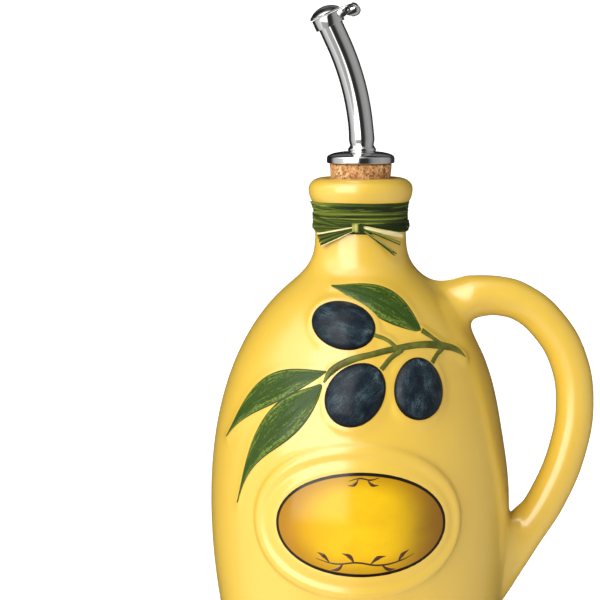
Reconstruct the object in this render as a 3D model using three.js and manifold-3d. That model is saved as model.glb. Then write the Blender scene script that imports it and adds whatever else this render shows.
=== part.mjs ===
// A glazed ceramic oil bottle with a ring handle, a moulded olive branch and an oval plaque,
// closed by a tapered cork that carries a curved steel pouring spout with a hinged lid.
// Millimetres. +Z is up, the bottle's axis is Z, the plaque faces -Y and the handle is at +X.
import * as THREE from "three";
import { mergeVertices } from "three/addons/utils/BufferGeometryUtils.js";
import Module from "manifold-3d";

const wasm = await Module();
wasm.setup();

// Driving dimensions of the ceramic bottle
const bottleHeight = 200.2;
const bellyRadius = 57.5;
const bellyZ = 76;
const upperReach = 93.8; // height over which the upper half would close on the axis
const upperPower = 2.2;
const lowerReach = 120;
const lowerPower = 1.9;
const footRound = 4;
const neckRadius = 17.3;
const shoulderZ = 156.5; // where the shoulder starts to sweep up into the neck
const neckStartZ = 173;
const beadRadius = 20;
const beadZ = 196;
const beadBottomZ = 190.5;
const lipRadius = 14.6;
const roundSteps = 52;

// Driving dimensions of the cork and the spout
const corkTopZ = 205.55;
const corkBottomZ = 183;
const corkTopRadius = 11.95;
const corkBottomRadius = 10;
const boreGap = 0.3;
const discRadius = 12.7;
const discZ = 205.8;
const discSkirt = 2.1;
const discTopZ = 210;
const spoutStart = new THREE.Vector2(0.5, 210.2);
const spoutRadius = 4.8;
const spoutBend = 100; // radius of the spout's bend
const spoutTilt = THREE.MathUtils.degToRad(24.5);
const spoutStraight = 11.9; // from the end of the bend to the lid's seat
const mouthRadius = 3.9;
const mouthDepth = 9;
const seatGap = 0.35;
const collarInner = 5.05;
const collarOuter = 5.9;
const collarLength = 4.3;
const earInside = 2.9;
const earThickness = 0.8;
const earRound = 1.4;
const pivot = new THREE.Vector2(8.2, -1.5); // from the lid's seat: outwards and along the spout
const pinRadius = 0.65;
const pinHole = 0.9;
const lidRadius = 6.25;
const lidRim = 0.6;
const lidCrown = 2.7;
const armHalfWidth = 2.6;
const weight = new THREE.Vector2(10.7, -3.0);
const weightRadius = 2.3;
const weightHole = 0.9;

// Solids and geometries
function solidOf(geometry) {
  const bare = geometry.clone();
  bare.deleteAttribute("normal");
  bare.deleteAttribute("uv");
  const merged = mergeVertices(bare, 1e-4);
  const vertProperties = new Float32Array(merged.attributes.position.array);
  const triVerts = new Uint32Array(merged.index.array);
  const made = new wasm.Manifold(new wasm.Mesh({ numProp: 3, vertProperties, triVerts }));
  if (made.volume() > 0) return made;
  for (let i = 0; i < triVerts.length; i += 3) {
    [triVerts[i + 1], triVerts[i + 2]] = [triVerts[i + 2], triVerts[i + 1]];
  }
  return new wasm.Manifold(new wasm.Mesh({ numProp: 3, vertProperties, triVerts }));
}

function geometryOf(solid) {
  const mesh = solid.getMesh();
  const position = new Float32Array(mesh.numVert * 3);
  for (let i = 0; i < mesh.numVert; i++) {
    position.set(mesh.vertProperties.subarray(i * mesh.numProp, i * mesh.numProp + 3), i * 3);
  }
  const geometry = new THREE.BufferGeometry();
  geometry.setAttribute("position", new THREE.BufferAttribute(position, 3));
  geometry.setIndex(new THREE.BufferAttribute(mesh.triVerts, 1));
  geometry.computeVertexNormals();
  return geometry;
}

// A closed body through rings of points, all with the same count, capped at both ends.
function loft(rings) {
  const count = rings[0].length;
  const points = rings.flat();
  const index = [];
  for (let r = 0; r + 1 < rings.length; r++) {
    for (let i = 0; i < count; i++) {
      const j = (i + 1) % count;
      const [a, b] = [r * count + i, r * count + j];
      index.push(a, b, b + count, a, b + count, a + count);
    }
  }
  for (const [start, flip] of [[0, true], [(rings.length - 1) * count, false]]) {
    const middle = new THREE.Vector3();
    for (let i = 0; i < count; i++) middle.addScaledVector(points[start + i], 1 / count);
    const centre = points.push(middle) - 1;
    for (let i = 0; i < count; i++) {
      const [a, b] = [start + i, start + ((i + 1) % count)];
      index.push(centre, flip ? b : a, flip ? a : b);
    }
  }
  const geometry = new THREE.BufferGeometry().setFromPoints(points);
  geometry.setIndex(index);
  return geometry;
}

// A lathe whose axis is Z.
function latheZ(profile, steps) {
  return new THREE.LatheGeometry(profile, steps).rotateX(Math.PI / 2);
}

// Points of an elliptical arc in a profile, from one angle to another.
function arcPoints(centreR, centreZ, radiusR, radiusZ, from, to, steps) {
  return Array.from({ length: steps + 1 }, (_, i) => {
    const angle = from + ((to - from) * i) / steps;
    return new THREE.Vector2(
      centreR + radiusR * Math.cos(angle),
      centreZ + radiusZ * Math.sin(angle),
    );
  });
}

// The bottle's outline
function bellyAt(z) {
  const above = z >= bellyZ;
  const share = above ? (z - bellyZ) / upperReach : (bellyZ - z) / lowerReach;
  const fall = Math.pow(Math.min(share, 1), above ? upperPower : lowerPower);
  return bellyRadius * Math.sqrt(Math.max(0, 1 - fall));
}

// The shoulder leaves the belly's curve and sweeps up to the neck, as a cubic.
function shoulderAt(share) {
  const start = new THREE.Vector2(bellyAt(shoulderZ), shoulderZ);
  const before = new THREE.Vector2(bellyAt(shoulderZ - 1), shoulderZ - 1);
  const slope = start.clone().sub(before).normalize();
  const end = new THREE.Vector2(neckRadius + 0.3, neckStartZ + 2);
  const curve = new THREE.CubicBezierCurve(
    start,
    start.clone().addScaledVector(slope, 8.5),
    new THREE.Vector2(end.x + 0.6, end.y - 9.5),
    end,
  );
  return curve.getPoint(share);
}

function bottleProfile() {
  const profile = [new THREE.Vector2(0, 0)];
  const footRadius = bellyAt(footRound) - footRound * 0.9;
  profile.push(...arcPoints(footRadius, footRound, footRound * 0.9, footRound, -Math.PI / 2, -0.25, 4));
  const bellySteps = 16;
  for (let i = 0; i <= bellySteps; i++) {
    const z = footRound + 3 + ((shoulderZ - footRound - 3) * i) / bellySteps;
    profile.push(new THREE.Vector2(bellyAt(z), z));
  }
  for (let i = 1; i <= 6; i++) profile.push(shoulderAt(i / 6));
  profile.push(new THREE.Vector2(neckRadius, beadBottomZ));
  const beadDepth = beadRadius - neckRadius;
  const beadTop = bottleHeight - beadZ;
  profile.push(...arcPoints(neckRadius, beadZ, beadDepth, beadZ - beadBottomZ, -1.1, 0, 3));
  profile.push(...arcPoints(lipRadius, beadZ, beadRadius - lipRadius, beadTop, 0.3, Math.PI / 2, 4));
  profile.push(new THREE.Vector2(corkRadiusAt(bottleHeight - 1.2) + boreGap, bottleHeight - 1.2));
  profile.push(new THREE.Vector2(corkBottomRadius + boreGap, corkBottomZ - boreGap));
  profile.push(new THREE.Vector2(0, corkBottomZ - boreGap));
  return profile;
}

function corkRadiusAt(z) {
  const share = (z - corkBottomZ) / (corkTopZ - corkBottomZ);
  return corkBottomRadius + (corkTopRadius - corkBottomRadius) * share;
}

// A place on the belly: along is the distance round from the front, z the height above the foot
// and lift the height above the glaze.
function onBelly(along, z, lift) {
  const radius = bellyAt(z);
  const angle = along / radius;
  const slope = (bellyAt(z + 0.5) - bellyAt(z - 0.5)) / 1;
  const normal = new THREE.Vector3(Math.sin(angle), -Math.cos(angle), -slope).normalize();
  return new THREE.Vector3(radius * Math.sin(angle), -radius * Math.cos(angle), z)
    .addScaledVector(normal, lift);
}

// The handle: a round bar bent in the XZ plane, thicker where it grows out of the bottle
const handlePath = [
  [21, 148.6], [36.5, 152.3], [50.2, 154.8], [62.4, 151.8], [73, 142.8], [80.1, 129.7],
  [82.6, 113.5], [80, 95.8], [72.5, 77.2], [62.3, 61.6], [53.3, 48.1], [46, 37.4],
];
const handleHalfWidth = 7.2;
const handleHalfDepth = 7.5;

function handleGeometry() {
  const steps = 34;
  const sides = 14;
  const curve = new THREE.CatmullRomCurve3(handlePath.map(([x, z]) => new THREE.Vector3(x, 0, z)));
  const rings = [];
  for (let i = 0; i <= steps; i++) {
    const share = i / steps;
    const centre = curve.getPointAt(share);
    const tangent = curve.getTangentAt(share);
    const across = new THREE.Vector3(-tangent.z, 0, tangent.x);
    const topFlare = Math.exp(-Math.pow(share / 0.15, 2));
    const bottomFlare = Math.exp(-Math.pow((1 - share) / 0.16, 2));
    const halfWidth = handleHalfWidth + 4.6 * topFlare + 1.6 * bottomFlare;
    const halfDepth = handleHalfDepth + 4.5 * topFlare + 2.2 * bottomFlare;
    rings.push(Array.from({ length: sides }, (_, k) => {
      const turn = (2 * Math.PI * k) / sides;
      return centre.clone()
        .addScaledVector(across, halfWidth * Math.cos(turn))
        .add(new THREE.Vector3(0, halfDepth * Math.sin(turn), 0));
    }));
  }
  return loft(rings);
}

// The plaque: a soft double rim round a slightly domed oval
const plaqueZ = 73.8;
const plaqueHalfWidth = 33.6;
const plaqueHalfHeight = 20;
const frameWidth = 8.4; // of the rim, at the sides
const frameHeight = 9.2; // of the rim, above and below
const rimLifts = [[0, 1.5], [0.12, 2.0], [0.3, 1.5], [0.42, 1.3], [0.62, 1.9], [0.8, 1.5], [1, -0.3]];

function plaqueGeometry() {
  const sides = 44;
  const ring = (share, grow, lift) => Array.from({ length: sides }, (_, k) => {
    const turn = (2 * Math.PI * k) / sides;
    const along = (plaqueHalfWidth + frameWidth * grow) * share * Math.cos(turn);
    const up = (plaqueHalfHeight + frameHeight * grow) * share * Math.sin(turn);
    return onBelly(along, plaqueZ + up, lift);
  });
  const rings = [0.04, 0.5, 0.82].map((share) => ring(share, 0, 1.5 + 0.7 * (1 - share * share)));
  for (const [grow, lift] of rimLifts) rings.push(ring(1, grow, lift));
  rings.push(ring(0.7, 1, -2.5));
  rings.push(ring(0.04, 1, -2.5));
  return loft(rings);
}

// The branch: leaves, twigs and olives, each [distance round, height] on the belly
const leaves = [
  { base: [24.1, 143.4], tip: [-11.5, 160.1], bend: 3.0, bendAt: 1.1, half: 5.0, full: 0.87, taper: 1.3 },
  { base: [-12.6, 129.9], tip: [-63.7, 103.1], bend: 4.7, bendAt: 1.0, half: 4.8, full: 0.8, taper: 1.5 },
  { base: [-14.0, 126.2], tip: [-54.2, 79.2], bend: 4.9, bendAt: 1.45, half: 6.3, full: 0.68, taper: 2.0 },
];
const leafLift = 1.5;

function leafGeometry(leaf) {
  const steps = 12;
  const base = new THREE.Vector2(...leaf.base);
  const chord = new THREE.Vector2(...leaf.tip).sub(base);
  const rise = new THREE.Vector2(chord.y, -chord.x).normalize();
  const place = (share) => base.clone()
    .addScaledVector(chord, share)
    .addScaledVector(rise, leaf.bend * Math.sin(Math.PI * Math.pow(share, leaf.bendAt)));
  const outline = [[-1, -0.2], [-0.6, 0.75], [0, 0.62], [0.6, 0.75], [1, -0.2], [0.5, -1], [-0.5, -1]];
  const rings = [];
  for (let i = 0; i <= steps; i++) {
    const share = 0.01 + (0.98 * i) / steps;
    const middle = place(share);
    const along = place(share + 0.01).sub(place(share - 0.01)).normalize();
    const side = new THREE.Vector2(along.y, -along.x);
    const fullness = Math.pow(Math.sin(Math.PI * Math.pow(share, leaf.full)), leaf.taper);
    const half = 0.35 + leaf.half * fullness;
    rings.push(outline.map(([v, lift]) => {
      const at = middle.clone().addScaledVector(side, half * v);
      return onBelly(at.x, at.y, lift * leafLift);
    }));
  }
  return loft(rings);
}

const twigs = [
  {
    path: [[-14, 128.4], [-6, 133.4], [3, 135.9], [13, 138], [22, 139], [32, 138.2], [42, 135.8], [46, 133.2]],
    start: 1.6,
    end: 0.7,
  },
  { path: [[12.8, 138.2], [9.4, 141], [4.4, 142.9]], start: 0.9, end: 0.9 },
  { path: [[32.8, 138.2], [28.8, 140.8], [23.4, 144]], start: 1.1, end: 0.9 },
  { path: [[15, 137.6], [10.6, 134.6], [7, 130.6]], start: 1.1, end: 0.9 },
  { path: [[32.6, 137.2], [29.8, 135.2], [27.4, 132.4]], start: 1.0, end: 0.9 },
];

function twigGeometry(twig) {
  const curve = new THREE.SplineCurve(twig.path.map(([along, z]) => new THREE.Vector2(along, z)));
  const steps = 3 * (twig.path.length - 1);
  const sides = 6;
  const rings = [];
  for (let i = 0; i <= steps; i++) {
    const share = i / steps;
    const middle = curve.getPoint(share);
    const forward = curve.getTangent(share);
    const side = new THREE.Vector2(forward.y, -forward.x);
    const half = twig.start + (twig.end - twig.start) * share;
    rings.push(Array.from({ length: sides }, (_, k) => {
      const turn = (2 * Math.PI * (k + 0.5)) / sides;
      const at = middle.clone().addScaledVector(side, half * Math.cos(turn));
      return onBelly(at.x, at.y, half * Math.sin(turn));
    }));
  }
  return loft(rings);
}

const olives = [
  { at: [-7.2, 146.7], half: [12.3, 10.2], turn: -10 },
  { at: [-2.5, 121.6], half: [12.6, 10.3], turn: 48 },
  { at: [21.6, 123.4], half: [11.3, 9.9], turn: 100 },
];
const oliveDepth = 5.2;

function oliveGeometry(olive) {
  const [along, z] = olive.at;
  const centre = onBelly(along, z, -0.8);
  const out = onBelly(along, z, 1).sub(onBelly(along, z, 0)).normalize();
  const right = onBelly(along + 0.5, z, 0).sub(onBelly(along - 0.5, z, 0)).normalize();
  const up = new THREE.Vector3().crossVectors(out, right).normalize();
  const place = new THREE.Matrix4().makeBasis(right, up, out).setPosition(centre);
  const turn = new THREE.Matrix4().makeRotationZ(THREE.MathUtils.degToRad(olive.turn));
  return new THREE.SphereGeometry(1, 20, 9)
    .rotateX(Math.PI / 2)
    .scale(olive.half[0], olive.half[1], oliveDepth)
    .applyMatrix4(turn)
    .applyMatrix4(place);
}

function ceramicBottle() {
  let solid = solidOf(latheZ(bottleProfile(), roundSteps));
  const handle = solidOf(handleGeometry());
  const bore = solidOf(latheZ([
    new THREE.Vector2(0, corkBottomZ - boreGap),
    new THREE.Vector2(corkBottomRadius + boreGap, corkBottomZ - boreGap),
    new THREE.Vector2(corkRadiusAt(corkTopZ) + boreGap, corkTopZ),
    new THREE.Vector2(0, corkTopZ),
  ], roundSteps));
  solid = solid.add(handle).subtract(bore);
  solid = solid.add(solidOf(plaqueGeometry()));
  for (const leaf of leaves) solid = solid.add(solidOf(leafGeometry(leaf)));
  for (const twig of twigs) solid = solid.add(solidOf(twigGeometry(twig)));
  for (const olive of olives) solid = solid.add(solidOf(oliveGeometry(olive)));
  return geometryOf(solid);
}

// The cork, tapered, with a small chamfer at its foot
function corkGeometry() {
  return latheZ([
    new THREE.Vector2(0, corkBottomZ),
    new THREE.Vector2(corkBottomRadius - 0.8, corkBottomZ),
    new THREE.Vector2(corkRadiusAt(corkBottomZ + 0.8), corkBottomZ + 0.8),
    new THREE.Vector2(corkTopRadius, corkTopZ),
    new THREE.Vector2(0, corkTopZ),
  ], 40);
}

// The disc that the spout stands on: a short skirt under a low dome
function discGeometry() {
  const crown = arcPoints(5.2, discZ + discSkirt, discRadius - 5.2, discTopZ - discZ - discSkirt,
    0.15, Math.PI / 2, 6);
  return latheZ([
    new THREE.Vector2(0, discZ),
    new THREE.Vector2(discRadius - 0.3, discZ),
    new THREE.Vector2(discRadius, discZ + 0.3),
    new THREE.Vector2(discRadius, discZ + discSkirt),
    ...crown,
    new THREE.Vector2(0, discTopZ),
  ], 40);
}

// The spout's centre line: a bend that starts upright, then a straight stretch
function spoutAt(length) {
  const bendLength = spoutBend * spoutTilt;
  const angle = Math.min(length / spoutBend, spoutTilt);
  const straight = Math.max(0, length - bendLength);
  const centre = new THREE.Vector3(
    spoutStart.x - spoutBend * (1 - Math.cos(angle)) - straight * Math.sin(angle),
    0,
    spoutStart.y + spoutBend * Math.sin(angle) + straight * Math.cos(angle),
  );
  return { centre, across: new THREE.Vector3(Math.cos(angle), 0, Math.sin(angle)) };
}

const spoutLength = spoutBend * spoutTilt + spoutStraight;

// The spout's foot is a turned collar over a waist: [length along the spout, radius]
const spoutFoot = [
  [0, 5.35], [1.3, 5.35], [1.7, 4.9], [2.4, 4.5], [3.4, 4.75], [4.6, 4.95], [7, 4.85], [10, spoutRadius],
];

function spoutRadiusAt(length) {
  const next = spoutFoot.findIndex(([reach]) => length <= reach);
  if (next < 0) return spoutRadius;
  if (next === 0) return spoutFoot[0][1];
  const [[from, start], [to, end]] = [spoutFoot[next - 1], spoutFoot[next]];
  return start + ((end - start) * (length - from)) / (to - from);
}

function spoutGeometry() {
  const sides = 20;
  const ring = (length, radius) => {
    const { centre, across } = spoutAt(length);
    return Array.from({ length: sides }, (_, k) => {
      const turn = (2 * Math.PI * k) / sides;
      return centre.clone()
        .addScaledVector(across, radius * Math.cos(turn))
        .add(new THREE.Vector3(0, radius * Math.sin(turn), 0));
    });
  };
  const mouth = spoutLength - seatGap;
  const outside = spoutFoot.map(([reach]) => reach);
  const footEnd = outside.at(-1);
  const stretches = 10;
  for (let i = 1; i <= stretches; i++) outside.push(footEnd + ((mouth - footEnd) * i) / stretches);
  const rings = outside.map((length) => ring(length, spoutRadiusAt(length)));
  for (const depth of [0, mouthDepth / 2, mouthDepth]) rings.push(ring(mouth - depth, mouthRadius));
  return loft(rings);
}

// Everything at the spout's tip is drawn from the lid's seat: x outwards to the hinge, z along the spout
const tip = new THREE.Group();
tip.position.copy(spoutAt(spoutLength).centre);
tip.rotation.y = -spoutTilt;

// A plate with the outline of a shape in the XZ plane, between two depths.
function plateXZ(shape, low, high) {
  const options = { depth: high - low, bevelEnabled: false, curveSegments: 10 };
  return new THREE.ExtrudeGeometry(shape, options).rotateX(Math.PI / 2).translate(0, high, 0);
}

function barY(centre, radius, halfLength, steps) {
  return new THREE.CylinderGeometry(radius, radius, 2 * halfLength, steps)
    .translate(centre.x, 0, centre.y);
}

function collarGeometry() {
  const low = -collarLength - seatGap;
  let solid = solidOf(latheZ([
    new THREE.Vector2(collarInner, low),
    new THREE.Vector2(collarOuter, low),
    new THREE.Vector2(collarOuter, -seatGap),
    new THREE.Vector2(collarInner, -seatGap),
    new THREE.Vector2(collarInner, low),
  ], 32));
  const ear = new THREE.Shape();
  ear.moveTo(4.2, -0.5);
  ear.lineTo(4.2, -3.6);
  ear.lineTo(6.4, -3.6);
  ear.absarc(pivot.x, pivot.y, earRound, -Math.PI / 2, Math.PI / 2 - 0.35, false);
  ear.lineTo(4.2, -0.5);
  const cut = solidOf(new THREE.CylinderGeometry(collarInner, collarInner, 20, 32).rotateX(Math.PI / 2));
  const hole = solidOf(barY(pivot, pinHole, 10, 16));
  for (const side of [-1, 1]) {
    const near = side * earInside;
    const far = side * (earInside + earThickness);
    const plate = solidOf(plateXZ(ear, Math.min(near, far), Math.max(near, far)));
    solid = solid.add(plate.subtract(cut).subtract(hole));
  }
  return geometryOf(solid);
}

function pinGeometry() {
  const reach = earInside + earThickness + 0.25;
  const head = 0.5;
  let solid = solidOf(barY(pivot, pinRadius, reach + 0.1, 14));
  for (const side of [-1, 1]) {
    const cap = new THREE.CylinderGeometry(1.15, 1.15, head, 14)
      .translate(pivot.x, side * (reach + head / 2), pivot.y);
    solid = solid.add(solidOf(cap));
  }
  return geometryOf(solid);
}

function lidGeometry() {
  const crownRadius = (lidRadius * lidRadius + lidCrown * lidCrown) / (2 * lidCrown);
  const halfAngle = Math.asin(lidRadius / crownRadius);
  const crown = Array.from({ length: 6 }, (_, i) => {
    const angle = halfAngle * (1 - i / 5);
    return new THREE.Vector2(
      i === 5 ? 0 : crownRadius * Math.sin(angle),
      lidRim + lidCrown - crownRadius * (1 - Math.cos(angle)),
    );
  });
  let solid = solidOf(latheZ([new THREE.Vector2(0, 0), new THREE.Vector2(lidRadius, 0), ...crown], 32));
  const arm = new THREE.Shape();
  arm.moveTo(5.4, 0.7);
  arm.lineTo(5.4, 0.02);
  arm.lineTo(6.15, 0.02);
  arm.lineTo(6.6, -1.5);
  arm.absarc(pivot.x, pivot.y, 1.6, Math.PI, Math.PI * 1.6, false);
  arm.lineTo(weight.x - 0.6, weight.y - 0.6);
  arm.lineTo(weight.x, weight.y + 1.9);
  arm.lineTo(pivot.x + 0.3, 0.45);
  arm.lineTo(6.6, 0.75);
  const plate = solidOf(plateXZ(arm, -armHalfWidth, armHalfWidth));
  const bob = solidOf(barY(weight, weightRadius, armHalfWidth, 24));
  solid = solid.add(plate).add(bob);
  solid = solid.subtract(solidOf(barY(weight, weightHole, 5, 14)));
  solid = solid.subtract(solidOf(barY(pivot, pinHole, 5, 16)));
  return geometryOf(solid);
}

// The raffia tie: wound strands round the neck, a knot at the front and short cut ends
const tieInner = 17.75;
const tieTopZ = 190.2;
const tieBottomZ = 179.2;
const knotZ = 181.2;

// The wound strands' section: [share of the tie's height, thickness]
const windings = [
  [0, 1.1], [0.16, 0.7], [0.3, 1.15], [0.46, 0.75], [0.6, 1.1], [0.76, 0.7], [0.88, 1.3], [1, 0.8],
];

function tieRing() {
  const outside = windings.map(([share, thick]) =>
    new THREE.Vector2(tieInner + thick, tieBottomZ + (tieTopZ - tieBottomZ) * share));
  const inside = [new THREE.Vector2(tieInner, tieTopZ), new THREE.Vector2(tieInner, tieBottomZ)];
  return latheZ([...outside, ...inside, outside[0].clone()], 32);
}

// A flat strand that leaves the knot and lies just off the neck: the end is [across, z, out]
function strandGeometry(end, halfWidth) {
  const [across, z, out] = end;
  const curve = new THREE.QuadraticBezierCurve3(
    new THREE.Vector3(0, -tieInner - 1.1, knotZ),
    new THREE.Vector3(across * 0.5, -tieInner - 2.1, knotZ + (z - knotZ) * 0.35),
    new THREE.Vector3(across, -out, z),
  );
  const rings = [];
  for (let i = 0; i <= 6; i++) {
    const centre = curve.getPoint(i / 6);
    const tangent = curve.getTangent(i / 6);
    const outward = new THREE.Vector3(centre.x, centre.y, 0).normalize();
    const wide = new THREE.Vector3().crossVectors(tangent, outward).normalize();
    const thick = new THREE.Vector3().crossVectors(wide, tangent).normalize();
    rings.push([[-1, 0], [0, 0.3], [1, 0], [0, -0.3]].map(([w, t]) => centre.clone()
      .addScaledVector(wide, w * halfWidth)
      .addScaledVector(thick, t)));
  }
  return loft(rings);
}

const strandEnds = [
  [[-16.2, 178.6, 10.4], 0.8], [[-15.9, 176.6, 11.2], 1.0], [[-15.2, 174.6, 12.2], 0.8],
  [[15.7, 178.2, 11.4], 1.1], [[14.8, 174.7, 13.0], 0.7], [[12.9, 171.2, 15.2], 0.8],
];

function tieGeometry() {
  let solid = solidOf(tieRing());
  const knot = new THREE.SphereGeometry(1, 12, 8).scale(2.6, 1.7, 2.1)
    .translate(0, -tieInner - 1.2, knotZ + 0.2);
  solid = solid.add(solidOf(knot));
  for (const [end, halfWidth] of strandEnds) {
    solid = solid.add(solidOf(strandGeometry(end, halfWidth)));
  }
  const neck = solidOf(latheZ([
    new THREE.Vector2(0, 165),
    new THREE.Vector2(tieInner, 165),
    new THREE.Vector2(tieInner, 195),
    new THREE.Vector2(0, 195),
  ], 32));
  return geometryOf(solid.subtract(neck));
}

// Finishes
const glaze = new THREE.MeshStandardMaterial({ color: 0xf6d469, roughness: 0.18, metalness: 0 });
const corkFinish = new THREE.MeshStandardMaterial({ color: 0xc98f5a, roughness: 0.85, metalness: 0 });
const steel = new THREE.MeshStandardMaterial({ color: 0xc9cac8, roughness: 0.2, metalness: 1 });
const raffia = new THREE.MeshStandardMaterial({ color: 0x4f7a28, roughness: 0.75, metalness: 0 });

function named(name, geometry, material) {
  const mesh = new THREE.Mesh(geometry, material);
  mesh.name = name;
  return mesh;
}

const bottle = new THREE.Group();
bottle.add(named("ceramic_bottle", ceramicBottle(), glaze));
bottle.add(named("cork", corkGeometry(), corkFinish));
bottle.add(named("spout_disc", discGeometry(), steel));
bottle.add(named("spout_tube", spoutGeometry(), steel));
bottle.add(named("raffia_tie", tieGeometry(), raffia));
tip.add(named("spout_collar", collarGeometry(), steel));
tip.add(named("hinge_pin", pinGeometry(), steel));
tip.add(named("spout_lid", lidGeometry(), steel));
bottle.add(tip);

export default bottle;
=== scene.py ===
import math
import random
import bpy
import numpy as np
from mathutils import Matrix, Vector


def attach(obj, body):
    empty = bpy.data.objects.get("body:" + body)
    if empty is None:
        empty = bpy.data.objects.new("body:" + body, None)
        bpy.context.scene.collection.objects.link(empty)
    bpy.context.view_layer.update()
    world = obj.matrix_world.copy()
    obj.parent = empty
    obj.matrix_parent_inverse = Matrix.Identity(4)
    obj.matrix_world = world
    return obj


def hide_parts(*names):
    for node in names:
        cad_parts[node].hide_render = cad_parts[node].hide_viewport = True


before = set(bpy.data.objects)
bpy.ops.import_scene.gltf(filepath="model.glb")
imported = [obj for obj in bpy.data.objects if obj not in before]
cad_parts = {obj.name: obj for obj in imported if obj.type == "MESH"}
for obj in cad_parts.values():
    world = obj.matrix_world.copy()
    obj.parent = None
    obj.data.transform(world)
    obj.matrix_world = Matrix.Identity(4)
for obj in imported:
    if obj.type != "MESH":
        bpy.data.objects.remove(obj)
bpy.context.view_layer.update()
mm = 0.001
print("frame loaded:", ", ".join(sorted(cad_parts)))


# Nodes: a wire is a socket that Python's operators work on

class Wire:
    def __init__(self, nodes, node, output=0):
        self.nodes = nodes
        self.node = node
        self.socket = node.outputs[output]

    def math(self, operation, *others):
        values = dict(enumerate((self, *others)))
        return self.nodes.add("Math", {"operation": operation}, values)

    def __add__(self, other):
        return self.math("ADD", other)

    def __sub__(self, other):
        return self.math("SUBTRACT", other)

    def __rsub__(self, other):
        return (self * -1.0) + other

    def __mul__(self, other):
        return self.math("MULTIPLY", other)

    __radd__ = __add__
    __rmul__ = __mul__

    def ramp(self, low, high, start=0.0, end=1.0):
        # a soft step from start to end as the value goes from low to high
        return self.nodes.add("MapRange", {"interpolation_type": "SMOOTHSTEP"}, {
            "Value": self, "From Min": low, "From Max": high, "To Min": start, "To Max": end})

    def window(self, low, high, softLow, softHigh):
        # 1 between low and high and 0 outside, with edges of these half widths
        rising = self.ramp(low - softLow, low + softLow)
        return rising * self.ramp(high - softHigh, high + softHigh, 1.0, 0.0)

    def part(self, name):
        return Wire(self.nodes, self.node, name)


class Nodes:
    def __init__(self, tree):
        self.tree = tree

    def add(self, kind, settings=None, sockets=None, output=0):
        node = self.tree.nodes.new("ShaderNode" + kind)
        for name, value in (settings or {}).items():
            if name == "stops":
                self.setStops(node.color_ramp, value)
            else:
                setattr(node, name, value)
        for name, value in (sockets or {}).items():
            self.put(node.inputs[name], value)
        return Wire(self, node, output)

    def setStops(self, ramp, stops):
        while len(ramp.elements) > 1:
            ramp.elements.remove(ramp.elements[-1])
        for index, (place, colour) in enumerate(stops):
            element = ramp.elements[0] if index == 0 else ramp.elements.new(place)
            element.position = place
            element.color = (*colour, 1)

    def put(self, socket, value):
        if isinstance(value, Wire):
            self.tree.links.new(value.socket, socket)
        else:
            socket.default_value = value

    def mix(self, mask, first, second):
        colours = [c if isinstance(c, Wire) else (*c, 1) for c in (first, second)]
        return self.add("Mix", {"data_type": "RGBA"}, {0: mask, 6: colours[0], 7: colours[1]}, 2)

    def noise(self, where, scale, detail=3.0, roughness=0.55, distortion=0.0):
        return self.add("TexNoise", {}, {"Vector": where, "Scale": scale, "Detail": detail,
                                         "Roughness": roughness, "Distortion": distortion})

    def fibres(self, where, scale, detail, roughness=0.55, distortion=0.0):
        # noise that is finer one way than the other
        stretched = self.add("Mapping", {}, {"Vector": where, "Scale": (*scale, 1.0)})
        return self.noise(stretched, 1.0, detail, roughness, distortion)

    def onPiece(self):
        return self.add("TexCoord", {}, {}, "Object")

    def onFlat(self):
        return self.add("UVMap", {"uv_map": "flat"})

    def xyz(self, where):
        return self.add("SeparateXYZ", {}, {"Vector": where})

    def paint(self, shader, colour, roughness, height=None, strength=0.0, distance=0.0):
        # links a finish's colour and roughness, and its bump if it has one
        self.put(shader.inputs["Base Color"], colour)
        self.put(shader.inputs["Roughness"], roughness)
        if height is not None:
            bump = self.add("Bump", {}, {"Height": height, "Strength": strength, "Distance": distance})
            self.put(shader.inputs["Normal"], bump)


def newFinish(name, **uniform):
    # a material with its uniform values set straight on the shader; returns it, its nodes and the shader
    material = bpy.data.materials.new(name)
    material.use_nodes = True
    shader = material.node_tree.nodes["Principled BSDF"]
    for socket, value in uniform.items():
        shader.inputs[socket.replace("_", " ")].default_value = value
    return material, Nodes(material.node_tree), shader


# Modelling helpers

def setMode(mode):
    bpy.ops.object.mode_set(mode=mode)


def selectAll(action="SELECT"):
    # of the mesh that is being edited
    bpy.ops.mesh.select_all(action=action)


def deselectAll():
    if bpy.context.object and bpy.context.object.mode != "OBJECT":
        setMode("OBJECT")
    bpy.ops.object.select_all(action="DESELECT")


def pick(piece, *others):
    deselectAll()
    for other in others:
        other.select_set(True)
    piece.select_set(True)
    bpy.context.view_layer.objects.active = piece


def settle(piece):
    # the piece's place goes into its mesh
    pick(piece)
    bpy.ops.object.transform_apply(location=True, rotation=True, scale=True)


def applyModifier(piece, kind, **settings):
    pick(piece)
    bpy.ops.object.modifier_add(type=kind)
    modifier = piece.modifiers[-1]
    for name, value in settings.items():
        setattr(modifier, name, value)
    bpy.ops.object.modifier_apply(modifier=modifier.name)


def combine(piece, other, operation):
    applyModifier(piece, "BOOLEAN", operation=operation, solver="EXACT", object=other)
    bpy.data.objects.remove(other)


def named(name):
    # the piece that an operator has just made
    piece = bpy.context.object
    piece.name = piece.data.name = name
    return piece


def outwards(piece, merge=1e-6):
    # points that coincide become one, and every face looks out
    pick(piece)
    setMode("EDIT")
    selectAll()
    if merge:
        bpy.ops.mesh.remove_doubles(threshold=merge)
    bpy.ops.mesh.normals_make_consistent(inside=False)
    setMode("OBJECT")


def points(piece):
    flat = np.zeros(len(piece.data.vertices) * 3)
    piece.data.vertices.foreach_get("co", flat)
    return flat.reshape(-1, 3)


def setPoints(piece, places):
    piece.data.vertices.foreach_set("co", np.asarray(places, float).reshape(-1))
    piece.data.update()


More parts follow.
